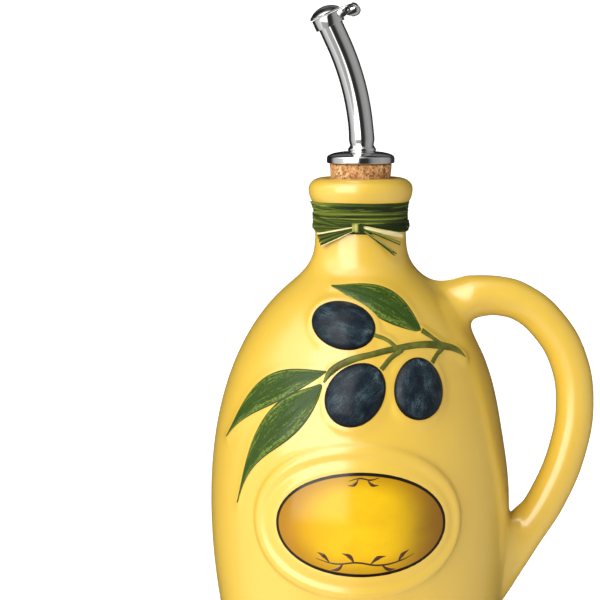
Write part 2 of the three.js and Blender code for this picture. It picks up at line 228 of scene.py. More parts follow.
def smoothShade(piece, degrees=None):
    pick(piece)
    if degrees is None:
        bpy.ops.object.shade_smooth()
    else:
        bpy.ops.object.shade_smooth_by_angle(angle=math.radians(degrees))


def joined(name, pieces):
    pick(*pieces)
    bpy.ops.object.join()
    return named(name)


def lengthAlong(path):
    # the distance from the path's start to each of its points
    return np.concatenate([[0], np.cumsum(np.linalg.norm(np.diff(path, axis=0), axis=1))])


def unitRows(rows):
    return rows / np.linalg.norm(rows, axis=-1, keepdims=True)


def evenly(outline, step):
    # the same outline with its points about one step apart
    outline = np.array(outline, float)
    reach = lengthAlong(outline)
    wanted = np.linspace(0, reach[-1], max(2, int(round(reach[-1] / step)) + 1))
    return [tuple(p) for p in np.stack([np.interp(wanted, reach, outline[:, k]) for k in (0, 1)], 1)]


def arc(centre, radii, start, end, steps):
    # points of an elliptical arc, angles in degrees
    turns = np.radians(np.linspace(start, end, steps + 1))
    return [(centre[0] + radii[0] * math.cos(t), centre[1] + radii[1] * math.sin(t)) for t in turns]


def bezier(corners, steps):
    a, b, c, d = (np.array(corner, float) for corner in corners)
    shares = np.linspace(0, 1, steps + 1)[:, None]
    curve = ((1 - shares) ** 3 * a + 3 * (1 - shares) ** 2 * shares * b
             + 3 * (1 - shares) * shares ** 2 * c + shares ** 3 * d)
    return [tuple(p) for p in curve]


def drawOutline(name, outline, y=0):
    # one vertex drawn out along the outline (x, z in mm), left in edit mode and selected
    deselectAll()
    bpy.ops.mesh.primitive_plane_add(size=mm, location=(outline[0][0] * mm, y * mm, outline[0][1] * mm))
    piece = named(name)
    setMode("EDIT")
    bpy.ops.mesh.select_mode(type="VERT")
    selectAll()
    bpy.ops.mesh.merge(type="CENTER")
    for (x, z), (nextX, nextZ) in zip(outline, outline[1:]):
        step = ((nextX - x) * mm, 0, (nextZ - z) * mm)
        bpy.ops.mesh.extrude_vertices_move(TRANSFORM_OT_translate={"value": step})
    selectAll()
    return piece


def spinOutline(name, outline, steps):
    # an outline (radius, height in mm) spun round Z
    piece = drawOutline(name, outline)
    bpy.ops.mesh.spin(steps=steps, angle=2 * math.pi, center=(0, 0, 0), axis=(0, 0, 1))
    outwards(piece)
    settle(piece)
    return piece


def curveRod(name, corners, radii, width, resolution, sides, closed):
    # a round bar through the corners (x, y, z in mm), width times the radius thick at each
    deselectAll()
    bpy.ops.curve.primitive_bezier_curve_add()
    curve = bpy.context.object.data
    curve.splines.clear()
    spline = curve.splines.new("BEZIER")
    spline.bezier_points.add(len(corners) - 1)
    for point, corner, radius in zip(spline.bezier_points, corners, radii):
        point.co = [value * mm for value in corner]
        point.handle_left_type = point.handle_right_type = "AUTO"
        point.radius = radius
    spline.resolution_u = resolution
    curve.dimensions = "3D"
    curve.twist_mode = "MINIMUM"
    curve.bevel_depth = width * mm
    curve.bevel_resolution = sides
    curve.use_fill_caps = closed
    pick(bpy.context.object)
    bpy.ops.object.convert(target="MESH")
    piece = named(name)
    settle(piece)
    return piece


def scaleAxis(piece, axis, scale):
    places = points(piece)
    places[:, axis] *= scale
    setPoints(piece, places)


def dress(piece, body, slot, material, *nodes):
    piece.data.materials.clear()
    piece.data.materials.append(material)
    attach(piece, body)
    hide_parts(*nodes)


# Camera

cameraPlan = {
    "aim": (-23.27, 0, 153.0),
    "distance": 1600,
    "tiltDegrees": 4.8,
    "mmPerPixel": 0.3846,
    "imagePixels": 600,
    "sensor": 36,
    "nearest": 0.05,
}


def makeCamera(plan):
    tilt = math.radians(plan["tiltDegrees"])
    back = Vector((0, -math.cos(tilt), math.sin(tilt))) * plan["distance"]
    deselectAll()
    bpy.ops.object.camera_add(location=(Vector(plan["aim"]) + back) * mm,
                              rotation=(math.pi / 2 - tilt, 0, 0))
    camera = bpy.context.object
    camera.data.sensor_width = plan["sensor"]
    camera.data.lens = plan["sensor"] * plan["distance"] / (plan["imagePixels"] * plan["mmPerPixel"])
    camera.data.clip_start = plan["nearest"]
    bpy.context.scene.camera = camera


makeCamera(cameraPlan)
print("camera placed")


# The bottle's outline, in mm

bodyPlan = {
    "bellyRadius": 57.5,
    "bellyZ": 76,
    "upperReach": 93.8,
    "upperPower": 2.2,
    "lowerReach": 120,
    "lowerPower": 1.9,
    "footRound": 4,
    "shoulderZ": 156.5,
    "neckRadius": 17.3,
    "neckStartZ": 173,
    "beadBottomZ": 190.5,
    "beadZ": 196,
    "beadRadius": 20,
    "lipRadius": 14.6,
    "rimZ": 200.2,
    "boreRadius": 12.0,
    "boreBottomZ": 182.7,
    "boreBottomRadius": 10.3,
    "shoulderPull": 8.5,
    "neckPull": (0.6, -9.5),
    "lipDrop": 1.6,
    "meshStep": 1.1,
    "spinSteps": 320,
}
wallMargin = 0.05 # points this near the wall's curve are on it


def bellyAt(z):
    plan = bodyPlan
    part = "upper" if z >= plan["bellyZ"] else "lower"
    share = min(abs(z - plan["bellyZ"]) / plan[part + "Reach"], 1)
    return plan["bellyRadius"] * math.sqrt(max(0, 1 - share ** plan[part + "Power"]))


def bottleOutside(plan):
    foot, neckRadius, lipRadius = plan["footRound"], plan["neckRadius"], plan["lipRadius"]
    side = [(bellyAt(z), z) for z in np.arange(foot + 3, plan["shoulderZ"] + 0.01, 0.5)]
    footEdge = arc((bellyAt(foot) - foot * 0.9, foot), (foot * 0.9, foot), -90, -14, 12)
    start = np.array(side[-1])
    slope = unitRows(start - np.array(side[-2]))
    end = np.array((neckRadius + 0.3, plan["neckStartZ"] + 2))
    shoulder = bezier((start, start + slope * plan["shoulderPull"], end + plan["neckPull"], end), 60)
    beadSize = (plan["beadRadius"] - neckRadius, plan["beadZ"] - plan["beadBottomZ"])
    under = arc((neckRadius, plan["beadZ"]), beadSize, -72, 0, 24)
    neck = bezier((end, end + (-0.3, 3), (neckRadius, plan["beadBottomZ"] - 2), under[0]), 40)
    lipSize = (plan["beadRadius"] - lipRadius, plan["rimZ"] - plan["beadZ"])
    over = arc((lipRadius, plan["beadZ"]), lipSize, 0, 90, 24)
    return footEdge + side + shoulder[1:] + neck[1:] + under[1:] + over[1:]


def bottleOutline(plan):
    outside = evenly(bottleOutside(plan), plan["meshStep"])
    base = [(0, 0)] + [(r, 0) for r in np.linspace(0, outside[0][0], 14)[1:-1]]
    drop, lipRadius = plan["lipDrop"], plan["lipRadius"]
    lip = arc((lipRadius, plan["rimZ"] - drop), (lipRadius - plan["boreRadius"], drop), 90, 180, 6)
    radius, z = plan["boreBottomRadius"], plan["boreBottomZ"]
    return base + outside + lip[1:] + [(radius + 0.4, z + 1), (radius, z), (0, z)]


outsideCurve = np.array(bottleOutside(bodyPlan))
wallCurve = outsideCurve[: int(np.argmax(outsideCurve[:, 1] >= bodyPlan["beadBottomZ"]))]


def wallRadius(z):
    return np.interp(z, wallCurve[:, 1], wallCurve[:, 0])


def onWall(along, z, lift):
    # along is the distance round from the front, z the height and lift the distance off the glaze, in mm
    radius = wallRadius(z)
    slope = wallRadius(z + 0.5) - wallRadius(z - 0.5)
    turn = along / radius
    length = np.sqrt(1 + slope ** 2)
    out = radius + lift / length
    return np.stack([out * np.sin(turn), -out * np.cos(turn), z - lift * slope / length], -1)


def wrap(piece):
    # a piece modelled flat (X round the bottle, Y up, Z off the glaze) is laid on the bottle's wall
    settle(piece)
    flat = points(piece) / mm
    setPoints(piece, onWall(flat[:, 0], flat[:, 1], flat[:, 2]) * mm)


# What is moulded and painted on the wall, in mm: [distance round from the front, height]

plaquePlan = {
    "centre": (-0.6, 73.8),
    "half": (32.7, 19.6),
    "rimCentre": (-2.4, 74.6),
    "rimHalf": (43.0, 30.5),
    "lift": 1.72,
    "crown": 0.9,
    "edge": 0.25,
    "line": 1.3,
}

rimPlan = {
    "height": 1.45,
    "fall": (0.76, 1.02), # shares of the way from the plaque to the rim's outer edge
    "ridges": [(0.3, 0.13, 0.1), (-0.15, 0.38, 0.1), (0.6, 0.66, 0.17)], # height, share, width
    "outerEdge": (-0.5, 1.3),
}

olivePlan = {
    "rise": 3.6,
    "edge": 0.7,
    "fullness": 1.15,
    "sunk": -0.3,
    "olives": [
        {"at": (-7.2, 146.2), "half": (12.3, 8.5), "turn": -10, "taper": 0.04},
        {"at": (-2.5, 121.6), "half": (12.7, 10.3), "turn": 48, "taper": -0.06},
        {"at": (21.6, 123.3), "half": (11.4, 10.0), "turn": 100, "taper": -0.08},
    ],
}

leafPlan = {
    "edge": 0.6,
    "leastHalf": 0.3,
    "crown": 0.85,
    "crownPower": 2.4,
    "vein": 0.22,
    "veinWidth": 0.09,
    "thick": 0.5,
    "steps": (90, 18),
    "leaves": [
        {"base": (24.1, 143.4), "tip": (-11.5, 160.1), "bend": 3.0, "bendAt": 1.1, "half": 5.1,
         "full": 0.87, "taper": 1.25},
        {"base": (-12.6, 129.9), "tip": (-63.7, 103.1), "bend": 4.7, "bendAt": 1.0, "half": 5.0,
         "full": 0.8, "taper": 1.5},
        {"base": (-14.0, 126.2), "tip": (-54.2, 79.2), "bend": 4.9, "bendAt": 1.45, "half": 6.5,
         "full": 0.68, "taper": 1.9},
    ],
}

# how the glaze swells beside each piece: height and reach in mm
reliefPlan = {
    "olive": (1.15, 2.6),
    "oliveGroove": (0.25, 0.7),
    "twig": (0.9, 1.6),
    "twigHalf": 1.0,
    "leaf": (0.5, 2.2),
    "highest": 2.6,
    "frontTurn": 1.5,
    "zRange": (35, 170),
}

twigPlan = {
    "flatten": 0.8,
    "lift": 0.7,
    "twigs": [
        {"path": [(-14.4, 125.8), (-11.6, 129.8), (-5, 133.7), (3, 135.9), (13, 138), (22, 139), (32, 138.2),
                  (41, 136.0), (46, 133.2)], "thick": [0.5, 1.35, 1.35, 1.15, 1.2, 1.25, 1.4, 1.1, 0.25]},
        {"path": [(12.8, 138.2), (9.4, 141), (4.4, 142.9)], "thick": [0.8, 0.75, 0.8]},
        {"path": [(32.8, 138.2), (28.8, 140.8), (23.4, 144)], "thick": [1.0, 0.75, 1.0]},
        {"path": [(15, 137.6), (10.6, 134.6), (7, 130.6)], "thick": [1.1, 0.95, 1.0]},
        {"path": [(32.6, 137.2), (29.8, 135.2), (27.4, 132.4)], "thick": [1.1, 0.9, 1.0]},
    ],
}


def softStep(value, low, high):
    share = np.clip((value - low) / (high - low), 0, 1)
    return share * share * (3 - 2 * share)


def bulge(value, middle, width):
    return np.exp(-((value - middle) / width) ** 2)


def turned(x, y, degrees):
    cosine, sine = math.cos(math.radians(degrees)), math.sin(math.radians(degrees))
    return x * cosine - y * sine, x * sine + y * cosine


def offOval(x, y, half):
    # signed distance, about right near the oval's edge, positive outside
    reach = np.sqrt((x / half[0]) ** 2 + (y / half[1]) ** 2) + 1e-9
    return (reach - 1) * reach / np.sqrt((x / half[0] ** 2) ** 2 + (y / half[1] ** 2) ** 2 + 1e-12)


def plaqueRim(along, z):
    (x, y), (rimX, rimY) = plaquePlan["centre"], plaquePlan["rimCentre"]
    outOfOval = offOval(along - x, z - y, plaquePlan["half"])
    inRim = -offOval(along - rimX, z - rimY, plaquePlan["rimHalf"])
    share = outOfOval / np.maximum(outOfOval + np.maximum(inRim, 0), 0.1)
    share = np.where(outOfOval < 0, 0, np.where(inRim < 0, 1, share))
    rim = rimPlan["height"] * (1 - softStep(share, *rimPlan["fall"]))
    for height, middle, width in rimPlan["ridges"]:
        rim = rim + height * bulge(share, middle, width)
    start, full = rimPlan["outerEdge"]
    return np.where(inRim < start, 0, rim * softStep(inRim, start, full))


def nearPath(along, z, path):
    # distance to a polyline
    best = np.full(np.shape(along), 1e9)
    for (x0, z0), (x1, z1) in zip(path, path[1:]):
        run = np.array((x1 - x0, z1 - z0))
        share = np.clip(((along - x0) * run[0] + (z - z0) * run[1]) / (run @ run), 0, 1)
        best = np.minimum(best, np.hypot(along - x0 - share * run[0], z - z0 - share * run[1]))
    return best


def leafMiddle(leaf, share):
    base = np.array(leaf["base"])
    chord = np.array(leaf["tip"]) - base
    rise = np.array((chord[1], -chord[0])) / np.linalg.norm(chord)
    share = np.asarray(share, float)[..., None]
    bend = leaf["bend"] * np.sin(np.pi * np.clip(share, 0, 1) ** leaf["bendAt"])
    return base + chord * share + rise * bend


def leafHalf(leaf, share):
    swell = np.sin(np.pi * np.clip(share, 0, 1) ** leaf["full"])
    return leafPlan["leastHalf"] + leaf["half"] * np.maximum(swell, 0) ** leaf["taper"]


def reliefAt(along, z):
    # how far the glaze itself stands out round the plaque, the olives, the leaves and the twigs
    plan = reliefPlan
    relief = plaqueRim(along, z)

    def swell(away, kind):
        height, reach = plan[kind]
        return height * bulge(np.maximum(away, 0), 0, reach)

    for olive in olivePlan["olives"]:
        x, y = turned(along - olive["at"][0], z - olive["at"][1], -olive["turn"])
        away = offOval(x, y, olive["half"])
        relief = np.maximum(relief, swell(away, "olive") * (1 - swell(away, "oliveGroove")))
    for twig in twigPlan["twigs"]:
        relief = np.maximum(relief, swell(nearPath(along, z, twig["path"]) - plan["twigHalf"], "twig"))
    for leaf in leafPlan["leaves"]:
        shares = np.linspace(0, 1, 25)
        away = np.full(np.shape(along), 1e9)
        for (x, y), half in zip(leafMiddle(leaf, shares), leafHalf(leaf, shares)):
            away = np.minimum(away, np.hypot(along - x, z - y) - half)
        relief = np.maximum(relief, swell(away, "leaf"))
    return relief


# The ceramic: a spun body, two openings drawn round in its wall, and a bar bridged to them

handlePlan = {
    "path": [(45.6, 154.7), (52.8, 154.6), (62.4, 151.8), (72.9, 142.7), (80.1, 129.7), (82.6, 113.5),
             (80, 95.8), (72.5, 77.2), (62.6, 61.8), (53.6, 48.4)],
    "swell": [1.17, 1.08, 1.0, 1, 1, 1, 1, 1, 1.03, 1.08],
    "cut": (60.8, 56.6),
    "cutSlope": -0.12,
    "cutBelow": 100, # the bar above this height is left as it is
    "halfWidth": 7.25,
    "halfDepth": 7.5,
    "sides": 120,
    "rings": 18,
    "roots": [
        {"low": 137.8, "rows": 28, "columns": 32, "bridge": "SURFACE"},
        {"low": 34.0, "rows": 33, "columns": 24, "bridge": "LINEAR"},
    ],
    "calm": 2.1,
    "between": 110,
    "bridgeCuts": 14,
    "bridgeSmooth": 1.0,
    "calmed": [(38, 153, 24, 110), (58, 54, 28, 44)], # x, z, reach, rounds of smoothing
    # the flatter place on the belly: height and reach in mm, turn in radians
    "flat": {"height": 104.0, "reach": 19.0, "turn": 0.5, "depth": 1.15},
}


def roundRoots(piece, plan, ringHeights):
    # the wall's grid round each root is drawn from a rectangle into an oval
    places = points(piece) / mm
    turns = np.arctan2(places[:, 1], places[:, 0])
    radii = np.hypot(places[:, 0], places[:, 1])
    stepTurn = 2 * math.pi / bodyPlan["spinSteps"]
    onOutside = np.abs(radii - wallRadius(places[:, 2])) < wallMargin
    limits = []
    for root in plan["roots"]:
        first = int(np.argmin(np.abs(ringHeights - root["low"])))
        low, high = ringHeights[first], ringHeights[first + root["rows"]]
        halfTurn = root["columns"] / 2 * stepTurn
        middle = (low + high) / 2
        u = turns / halfTurn
        v = (places[:, 2] - middle) / ((high - low) / 2)
        box = np.maximum(np.abs(u), np.abs(v))
        near = onOutside & (box < plan["calm"]) & (box > 1e-6)
        weight = 1 - softStep(box, 1.0, plan["calm"])
        ring = np.hypot(u, v) + 1e-9
        scale = np.where(near, (box * weight + ring * (1 - weight)) / ring, 1)
        newTurn = turns * scale
        newZ = middle + (places[:, 2] - middle) * scale
        newRadius = np.where(near, wallRadius(newZ), radii)
        moved = np.stack([newRadius * np.cos(newTurn), newRadius * np.sin(newTurn), newZ], 1)
        places = np.where(near[:, None], moved, places)
        limits.append((near & (box < 0.999), box))
    setPoints(piece, places * mm)
    return limits


def selectFaces(piece, chosen):
    # selects the faces for which chosen(face's vertex numbers) holds, and stays in edit mode
    pick(piece)
    setMode("EDIT")
    selectAll("DESELECT")
    bpy.ops.mesh.select_mode(type="FACE")
    setMode("OBJECT")
    for face in piece.data.polygons:
        face.select = bool(chosen(list(face.vertices)))
    setMode("EDIT")


def makeBar(plan):
    # the handle's bar, open at both ends, its lower end cut to lie along the wall
    bar = curveRod("bar", [(x, 0, z) for x, z in plan["path"]], plan["swell"], plan["halfWidth"],
                   plan["rings"], plan["sides"] // 2 - 2, False)
    scaleAxis(bar, 1, plan["halfDepth"] / plan["halfWidth"])
    heights = points(bar)[:, 2] / mm
    selectFaces(bar, lambda corners: heights[corners].max() < plan["cutBelow"])
    x, z = plan["cut"]
    bpy.ops.mesh.bisect(plane_co=(x * mm, 0, z * mm), plane_no=(1, 0, plan["cutSlope"]), clear_inner=True)
    setMode("OBJECT")
    return bar


def selectOpenEdges(piece, near):
    # the open edges whose middle satisfies near, in edit mode
    pick(piece)
    setMode("EDIT")
    bpy.ops.mesh.select_mode(type="EDGE")
    selectAll("DESELECT")
    bpy.ops.mesh.select_non_manifold(extend=False, use_wire=False, use_boundary=True,
                                     use_multi_face=False, use_non_contiguous=False, use_verts=False)
    setMode("OBJECT")
    places = points(piece) / mm
    for edge in piece.data.edges:
        if edge.select and not near(places[list(edge.vertices)].mean(0)):
            edge.select = False
    setMode("EDIT")


def vertexGroup(piece, name, weights):
    group = piece.vertex_groups.new(name=name)
    for index in np.nonzero(weights > 0.001)[0]:
        group.add([int(index)], float(min(weights[index], 1)), "REPLACE")


def calmRoots(piece, plan):
    # the bridged stretches are smoothed so that the glaze runs from wall to handle in one sweep
    places = points(piece) / mm
    for x, z, reach, rounds in plan["calmed"]:
        away = np.sqrt((places[:, 0] - x) ** 2 + places[:, 1] ** 2 + (places[:, 2] - z) ** 2)
        vertexGroup(piece, "root", 1 - softStep(away, reach * 0.5, reach))
        applyModifier(piece, "SMOOTH", factor=0.5, iterations=rounds, vertex_group="root")
        piece.vertex_groups.remove(piece.vertex_groups["root"])


def pushOut(piece, name, weights, height):
    # points move along their normals, by height in mm where the weight is 1
    vertexGroup(piece, name, weights)
    applyModifier(piece, "DISPLACE", strength=height * mm, mid_level=0, direction="NORMAL",
                  vertex_group=name)


def wallPlaces(piece):
    # the points in mm, their turns from the front and how far each is off the wall
    places = points(piece) / mm
    off = np.abs(np.hypot(places[:, 0], places[:, 1]) - wallRadius(places[:, 2]))
    return places, np.arctan2(places[:, 0], -places[:, 1]), off


def raiseRelief(piece, plan):
    # the moulded rim and the soft swellings round the branch stand out of the wall
    places, turns, off = wallPlaces(piece)
    low, high = plan["zRange"]
    front = (np.abs(turns) < plan["frontTurn"]) & (off < 1.0)
    front &= (places[:, 2] > low) & (places[:, 2] < high)
    heights = np.zeros(len(places))
    heights[front] = reliefAt(turns[front] * wallRadius(places[front, 2]), places[front, 2])
    pushOut(piece, "relief", heights / plan["highest"], plan["highest"])


def flattenSide(piece, plan):
    # the belly is a little flatter where it faces the handle
    places, turns, off = wallPlaces(piece)
    weights = bulge(turns, math.pi / 2, plan["turn"]) * bulge(places[:, 2], plan["height"], plan["reach"])
    pushOut(piece, "flat", (off < 1.5) * weights, -plan["depth"])


def openRoots(bottle, plan, outline):
    # the wall's faces inside the two drawn ovals are taken out
    neckRadius = bodyPlan["neckRadius"] + 0.2
    heights = np.array([z for r, z in outline if r > neckRadius and abs(r - wallRadius(z)) < wallMargin])
    limits = roundRoots(bottle, plan, heights)
    inside = limits[0][0] | limits[1][0]
    boxes = [box for _, box in limits]
    selectFaces(bottle, lambda corners: (inside[corners].any()
                                         and min(box[corners].max() for box in boxes) < 1.01))
    bpy.ops.mesh.delete(type="FACE")
    setMode("OBJECT")


def makeCeramic(plan):
    outline = bottleOutline(bodyPlan)
    bottle = spinOutline("ceramicBottle", outline, bodyPlan["spinSteps"])
    print("body spun:", len(bottle.data.polygons), "faces")
    openRoots(bottle, plan, outline)
    bottle = joined("ceramicBottle", [bottle, makeBar(plan)])
    middle = plan["between"]
    for near, root in zip((lambda at: at[2] > middle, lambda at: at[2] < middle), plan["roots"]):
        selectOpenEdges(bottle, near)
        bpy.ops.mesh.bridge_edge_loops(type="SINGLE", number_cuts=plan["bridgeCuts"],
                                       interpolation=root["bridge"], smoothness=plan["bridgeSmooth"])
        setMode("OBJECT")
    outwards(bottle, merge=0)
    calmRoots(bottle, plan)
    flattenSide(bottle, plan["flat"])
    raiseRelief(bottle, reliefPlan)
    smoothShade(bottle)
    return bottle


ceramic = makeCeramic(handlePlan)
print("ceramic made:", len(ceramic.data.polygons), "faces")


# Painted pieces are modelled flat and then laid on the wall; a UV map keeps each one's flat pattern

def keepFlat(piece, places):
    while piece.data.uv_layers:
        piece.data.uv_layers.remove(piece.data.uv_layers[0])
    layer = piece.data.uv_layers.new(name="flat")
    corners = np.zeros(len(piece.data.loops), np.int32)
    piece.data.loops.foreach_get("vertex_index", corners)
    layer.data.foreach_set("uv", np.asarray(places, float)[corners].reshape(-1))


def newGrid(name, columns, rows):
    # a flat grid whose points run from -1 to 1 both ways
    deselectAll()
    bpy.ops.mesh.primitive_grid_add(x_subdivisions=columns, y_subdivisions=rows, size=2 * mm)
    piece = named(name)
    return piece, points(piece) / mm


def newDome(name, segments, rings):
    # the upper half of a ball, closed underneath
    deselectAll()
    bpy.ops.mesh.primitive_uv_sphere_add(segments=segments, ring_count=rings, radius=mm)
    piece = named(name)
    setMode("EDIT")
    selectAll()
    bpy.ops.mesh.bisect(plane_co=(0, 0, -0.06 * mm), plane_no=(0, 0, 1), use_fill=True, clear_inner=True)
    setMode("OBJECT")
    return piece, points(piece) / mm


def layOnWall(piece, degrees):
    wrap(piece)
    outwards(piece)
    smoothShade(piece, degrees)
    return piece


def makeOlive(name, olive, plan):
    piece, unit = newDome(name, 96, 64)
    keepFlat(piece, unit[:, :2])
    along = unit[:, 0] * olive["half"][0]
    up = unit[:, 1] * olive["half"][1] * (1 + olive["taper"] * unit[:, 0])
    x, y = turned(along, up, olive["turn"])
    dome = plan["edge"] + plan["rise"] * np.abs(unit[:, 2]) ** plan["fullness"]
    height = np.where(unit[:, 2] > 0, dome, plan["sunk"])
    setPoints(piece, np.stack([olive["at"][0] + x, olive["at"][1] + y, height], 1) * mm)
    wrap(piece)
    smoothShade(piece, 50)
    return piece


def makePlaque(plan):
    piece, unit = newDome("plaque", 160, 48)
    keepFlat(piece, unit[:, :2])
    reach = np.hypot(unit[:, 0], unit[:, 1])
    edge = plan["edge"] * (np.clip(1 - reach ** 24, 0, 1) ** 0.5 - 1)
    height = plan["lift"] + edge + plan["crown"] * (1 - reach ** 2)
    height = np.where(unit[:, 2] > 0, height, 0)
    x = plan["centre"][0] + unit[:, 0] * plan["half"][0]
    y = plan["centre"][1] + unit[:, 1] * plan["half"][1]
    setPoints(piece, np.stack([x, y, height], 1) * mm)
    wrap(piece)
    smoothShade(piece, 50)
    return piece


def makeLeaf(name, leaf, plan):
    piece, unit = newGrid(name, *plan["steps"])
    share, side = (unit[:, 0] + 1) / 2, unit[:, 1]
    keepFlat(piece, np.stack([share, side], 1))
    half = leafHalf(leaf, share)
    forward = unitRows(leafMiddle(leaf, share + 0.01) - leafMiddle(leaf, share - 0.01))
    across = np.stack([-forward[:, 1], forward[:, 0]], 1)
    flat = leafMiddle(leaf, share) + across * (side * half)[:, None]
    crown = plan["crown"] * (1 - np.abs(side) ** plan["crownPower"])
    vein = plan["vein"] * bulge(side, 0, plan["veinWidth"])
    height = plan["edge"] + (crown - vein) * np.sqrt(half / half.max())
    setPoints(piece, np.column_stack([flat, height]) * mm)
    applyModifier(piece, "SOLIDIFY", thickness=plan["thick"] * mm, offset=-1)
    return layOnWall(piece, 50)


def newStem(name, path, thick, flatten, resolution=14, sides=6):
    # a rounded stroke through points of a flat path, thick holds its half width at each
    piece = curveRod(name, [(x, y, 0) for x, y in path], thick, 1, resolution, sides, True)
    scaleAxis(piece, 2, flatten)
    return piece


def lift(piece, height):
    # height is a number or holds one for each point, in mm
    places = points(piece)
    places[:, 2] += np.asarray(height) * mm
    setPoints(piece, places)


def makeTwig(name, twig, plan):
    piece = newStem(name, twig["path"], twig["thick"], plan["flatten"])
    flat = points(piece) / mm
    keepFlat(piece, flat[:, :2])
    lift(piece, plan["lift"])
    return layOnWall(piece, 60)


def makeSprig(plan):
    # small generic vine strokes painted along the plaque
    strokes = [newStem("sprig%d" % index, path, thick, plan["flatten"], 10, 3)
               for index, (path, thick) in enumerate(plan["strokes"])]
    sprig = joined("sprig0", strokes)
    flat = points(sprig) / mm
    keepFlat(sprig, flat[:, :2])
    x, y = ((flat[:, k] - plaquePlan["centre"][k]) / plaquePlan["half"][k] for k in (0, 1))
    lift(sprig, plaquePlan["lift"] + plaquePlan["crown"] * (1 - x * x - y * y))
    return layOnWall(sprig, 60)


sprigPlan = {
    "flatten": 0.22,
    "strokes": [
        ([(-17, 61.2), (-10, 59.4), (-2, 59.9), (6, 58.9), (14, 60.6), (19, 63.0)],
         [0.12, 0.3, 0.34, 0.36, 0.3, 0.1]),
        ([(-12, 59.9), (-14.2, 62.4), (-16.4, 63.6)], [0.2, 0.75, 0.08]),
        ([(-7, 59.5), (-8.8, 57.4), (-11.6, 56.9)], [0.2, 0.7, 0.08]),
        ([(-3, 59.7), (-4.6, 62.2), (-7.4, 63.4)], [0.2, 0.8, 0.08]),
        ([(3, 59.5), (5.4, 61.6), (8.4, 62.4)], [0.2, 0.8, 0.08]),
        ([(7, 59.0), (9.2, 57.3), (12.0, 57.4)], [0.2, 0.7, 0.08]),
        ([(13, 60.2), (14.4, 62.6), (17.0, 64.6)], [0.2, 0.75, 0.08]),
        ([(-5, 90.2), (-1, 91.2), (3, 90.6), (6, 91.4)], [0.1, 0.3, 0.3, 0.1]),
        ([(-1.4, 91.0), (-3.0, 88.9), (-5.4, 88.5)], [0.15, 0.6, 0.08]),
        ([(1.6, 90.9), (3.4, 88.8), (5.8, 88.6)], [0.15, 0.6, 0.08]),
    ],
}

olives = [makeOlive("olive%d" % i, olive, olivePlan) for i, olive in enumerate(olivePlan["olives"], 1)]
leaves = [makeLeaf("leaf%d" % i, leaf, leafPlan) for i, leaf in enumerate(leafPlan["leaves"], 1)]
twigs = [makeTwig("twig%d" % i, twig, twigPlan) for i, twig in enumerate(twigPlan["twigs"], 1)]
plaque = makePlaque(plaquePlan)
sprig = makeSprig(sprigPlan)
print("branch and plaque laid on the wall")


# The cork

corkPlan = {
    "topZ": 205.55,
    "bottomZ": 183.0,
    "topRadius": 11.95,
    "bottomRadius": 10.0,
    "lip": (11.35, 198.6), # radius and height where it comes out of the neck
    "round": 0.5,
    "seed": 12,
    "pits": 90,
    "pitZ": (199.5, 205.3),
    "pitRadius": 11.8,
    "pitReach": (0.3, 0.75),
    "pitSquash": (0.8, 2.2),
    "pitDepth": (0.12, 0.4),
    "pitLimit": 0.5,
}


def makeCork(plan):
    low, radius, edge = plan["bottomRadius"], plan["topRadius"], plan["round"]
    side = [(0, plan["bottomZ"]), (low - 0.8, plan["bottomZ"]), (low, plan["bottomZ"] + 0.8), plan["lip"]]
    seen = evenly([plan["lip"], (radius - 0.02, plan["topZ"] - edge)], 0.4)
    corner = arc((radius - edge, plan["topZ"] - edge), (edge, edge), 0, 90, 4)
    top = evenly([(radius - edge, plan["topZ"]), (0, plan["topZ"])], 0.5)
    cork = spinOutline("corkStopper", side + seen[1:] + corner[1:] + top[1:], 160)
    places = points(cork) / mm
    chance = random.Random(plan["seed"])
    depth = np.zeros(len(places))
    for _ in range(plan["pits"]):
        turn, height = chance.uniform(0, 2 * math.pi), chance.uniform(*plan["pitZ"])
        pit = np.array((math.cos(turn) * plan["pitRadius"], math.sin(turn) * plan["pitRadius"], height))
        reach = chance.uniform(*plan["pitReach"])
        away = (places - pit) * (1, 1, chance.uniform(*plan["pitSquash"]))
        depth += chance.uniform(*plan["pitDepth"]) * np.exp(-(away ** 2).sum(1) / reach ** 2)
    places[:, :2] *= (1 - np.minimum(depth, plan["pitLimit"]) / 12)[:, None]
    setPoints(cork, places * mm)
    smoothShade(cork, 60)
    return cork


cork = makeCork(corkPlan)
print("cork made:", len(cork.data.polygons), "faces")


# The pourer: disc, spout, collar with its ears, pin and lid

discPlan = {
    "radius": 13.0,
    "lowZ": 205.8,
    "skirt": 2.0,
    "topZ": 210.2,
    "flatRadius": 4.4,
    "innerRadius": 2.6,
    "round": 0.35,
}

spoutPlan = {
    "start": (0.5, 210.2),
    "bend": 100.0,
    "tiltDegrees": 24.5,
    "straight": 11.9,
    "radius": 4.8,
    "footRing": ((5.0, 0.65), (0.4, 0.75)), # its middle and its half sizes
    "foot": [(4.9, 1.7), (4.5, 2.4), (4.75, 3.4), (4.95, 4.6), (4.85, 7), (4.8, 10)], # radius, height
    "mouthRadius": 3.9,
    "mouthDepth": 9.0,
    "seatGap": 0.35,
}

hingePlan = {
    "collarInner": 5.05,
    "collarOuter": 5.9,
    "collarLength": 4.3,
    "earInside": 2.9,
    "earThickness": 1.1,
    "earBevel": 0.45,
    "ear": [(4.2, -0.62), (4.2, -3.6), (6.4, -3.6)],
    "earRound": 1.4,
    "pivot": (8.2, -1.5),
    "pinRadius": 0.65,
    "headRadius": 1.2,
    "headThick": 0.5,
    "hole": 0.9,
}

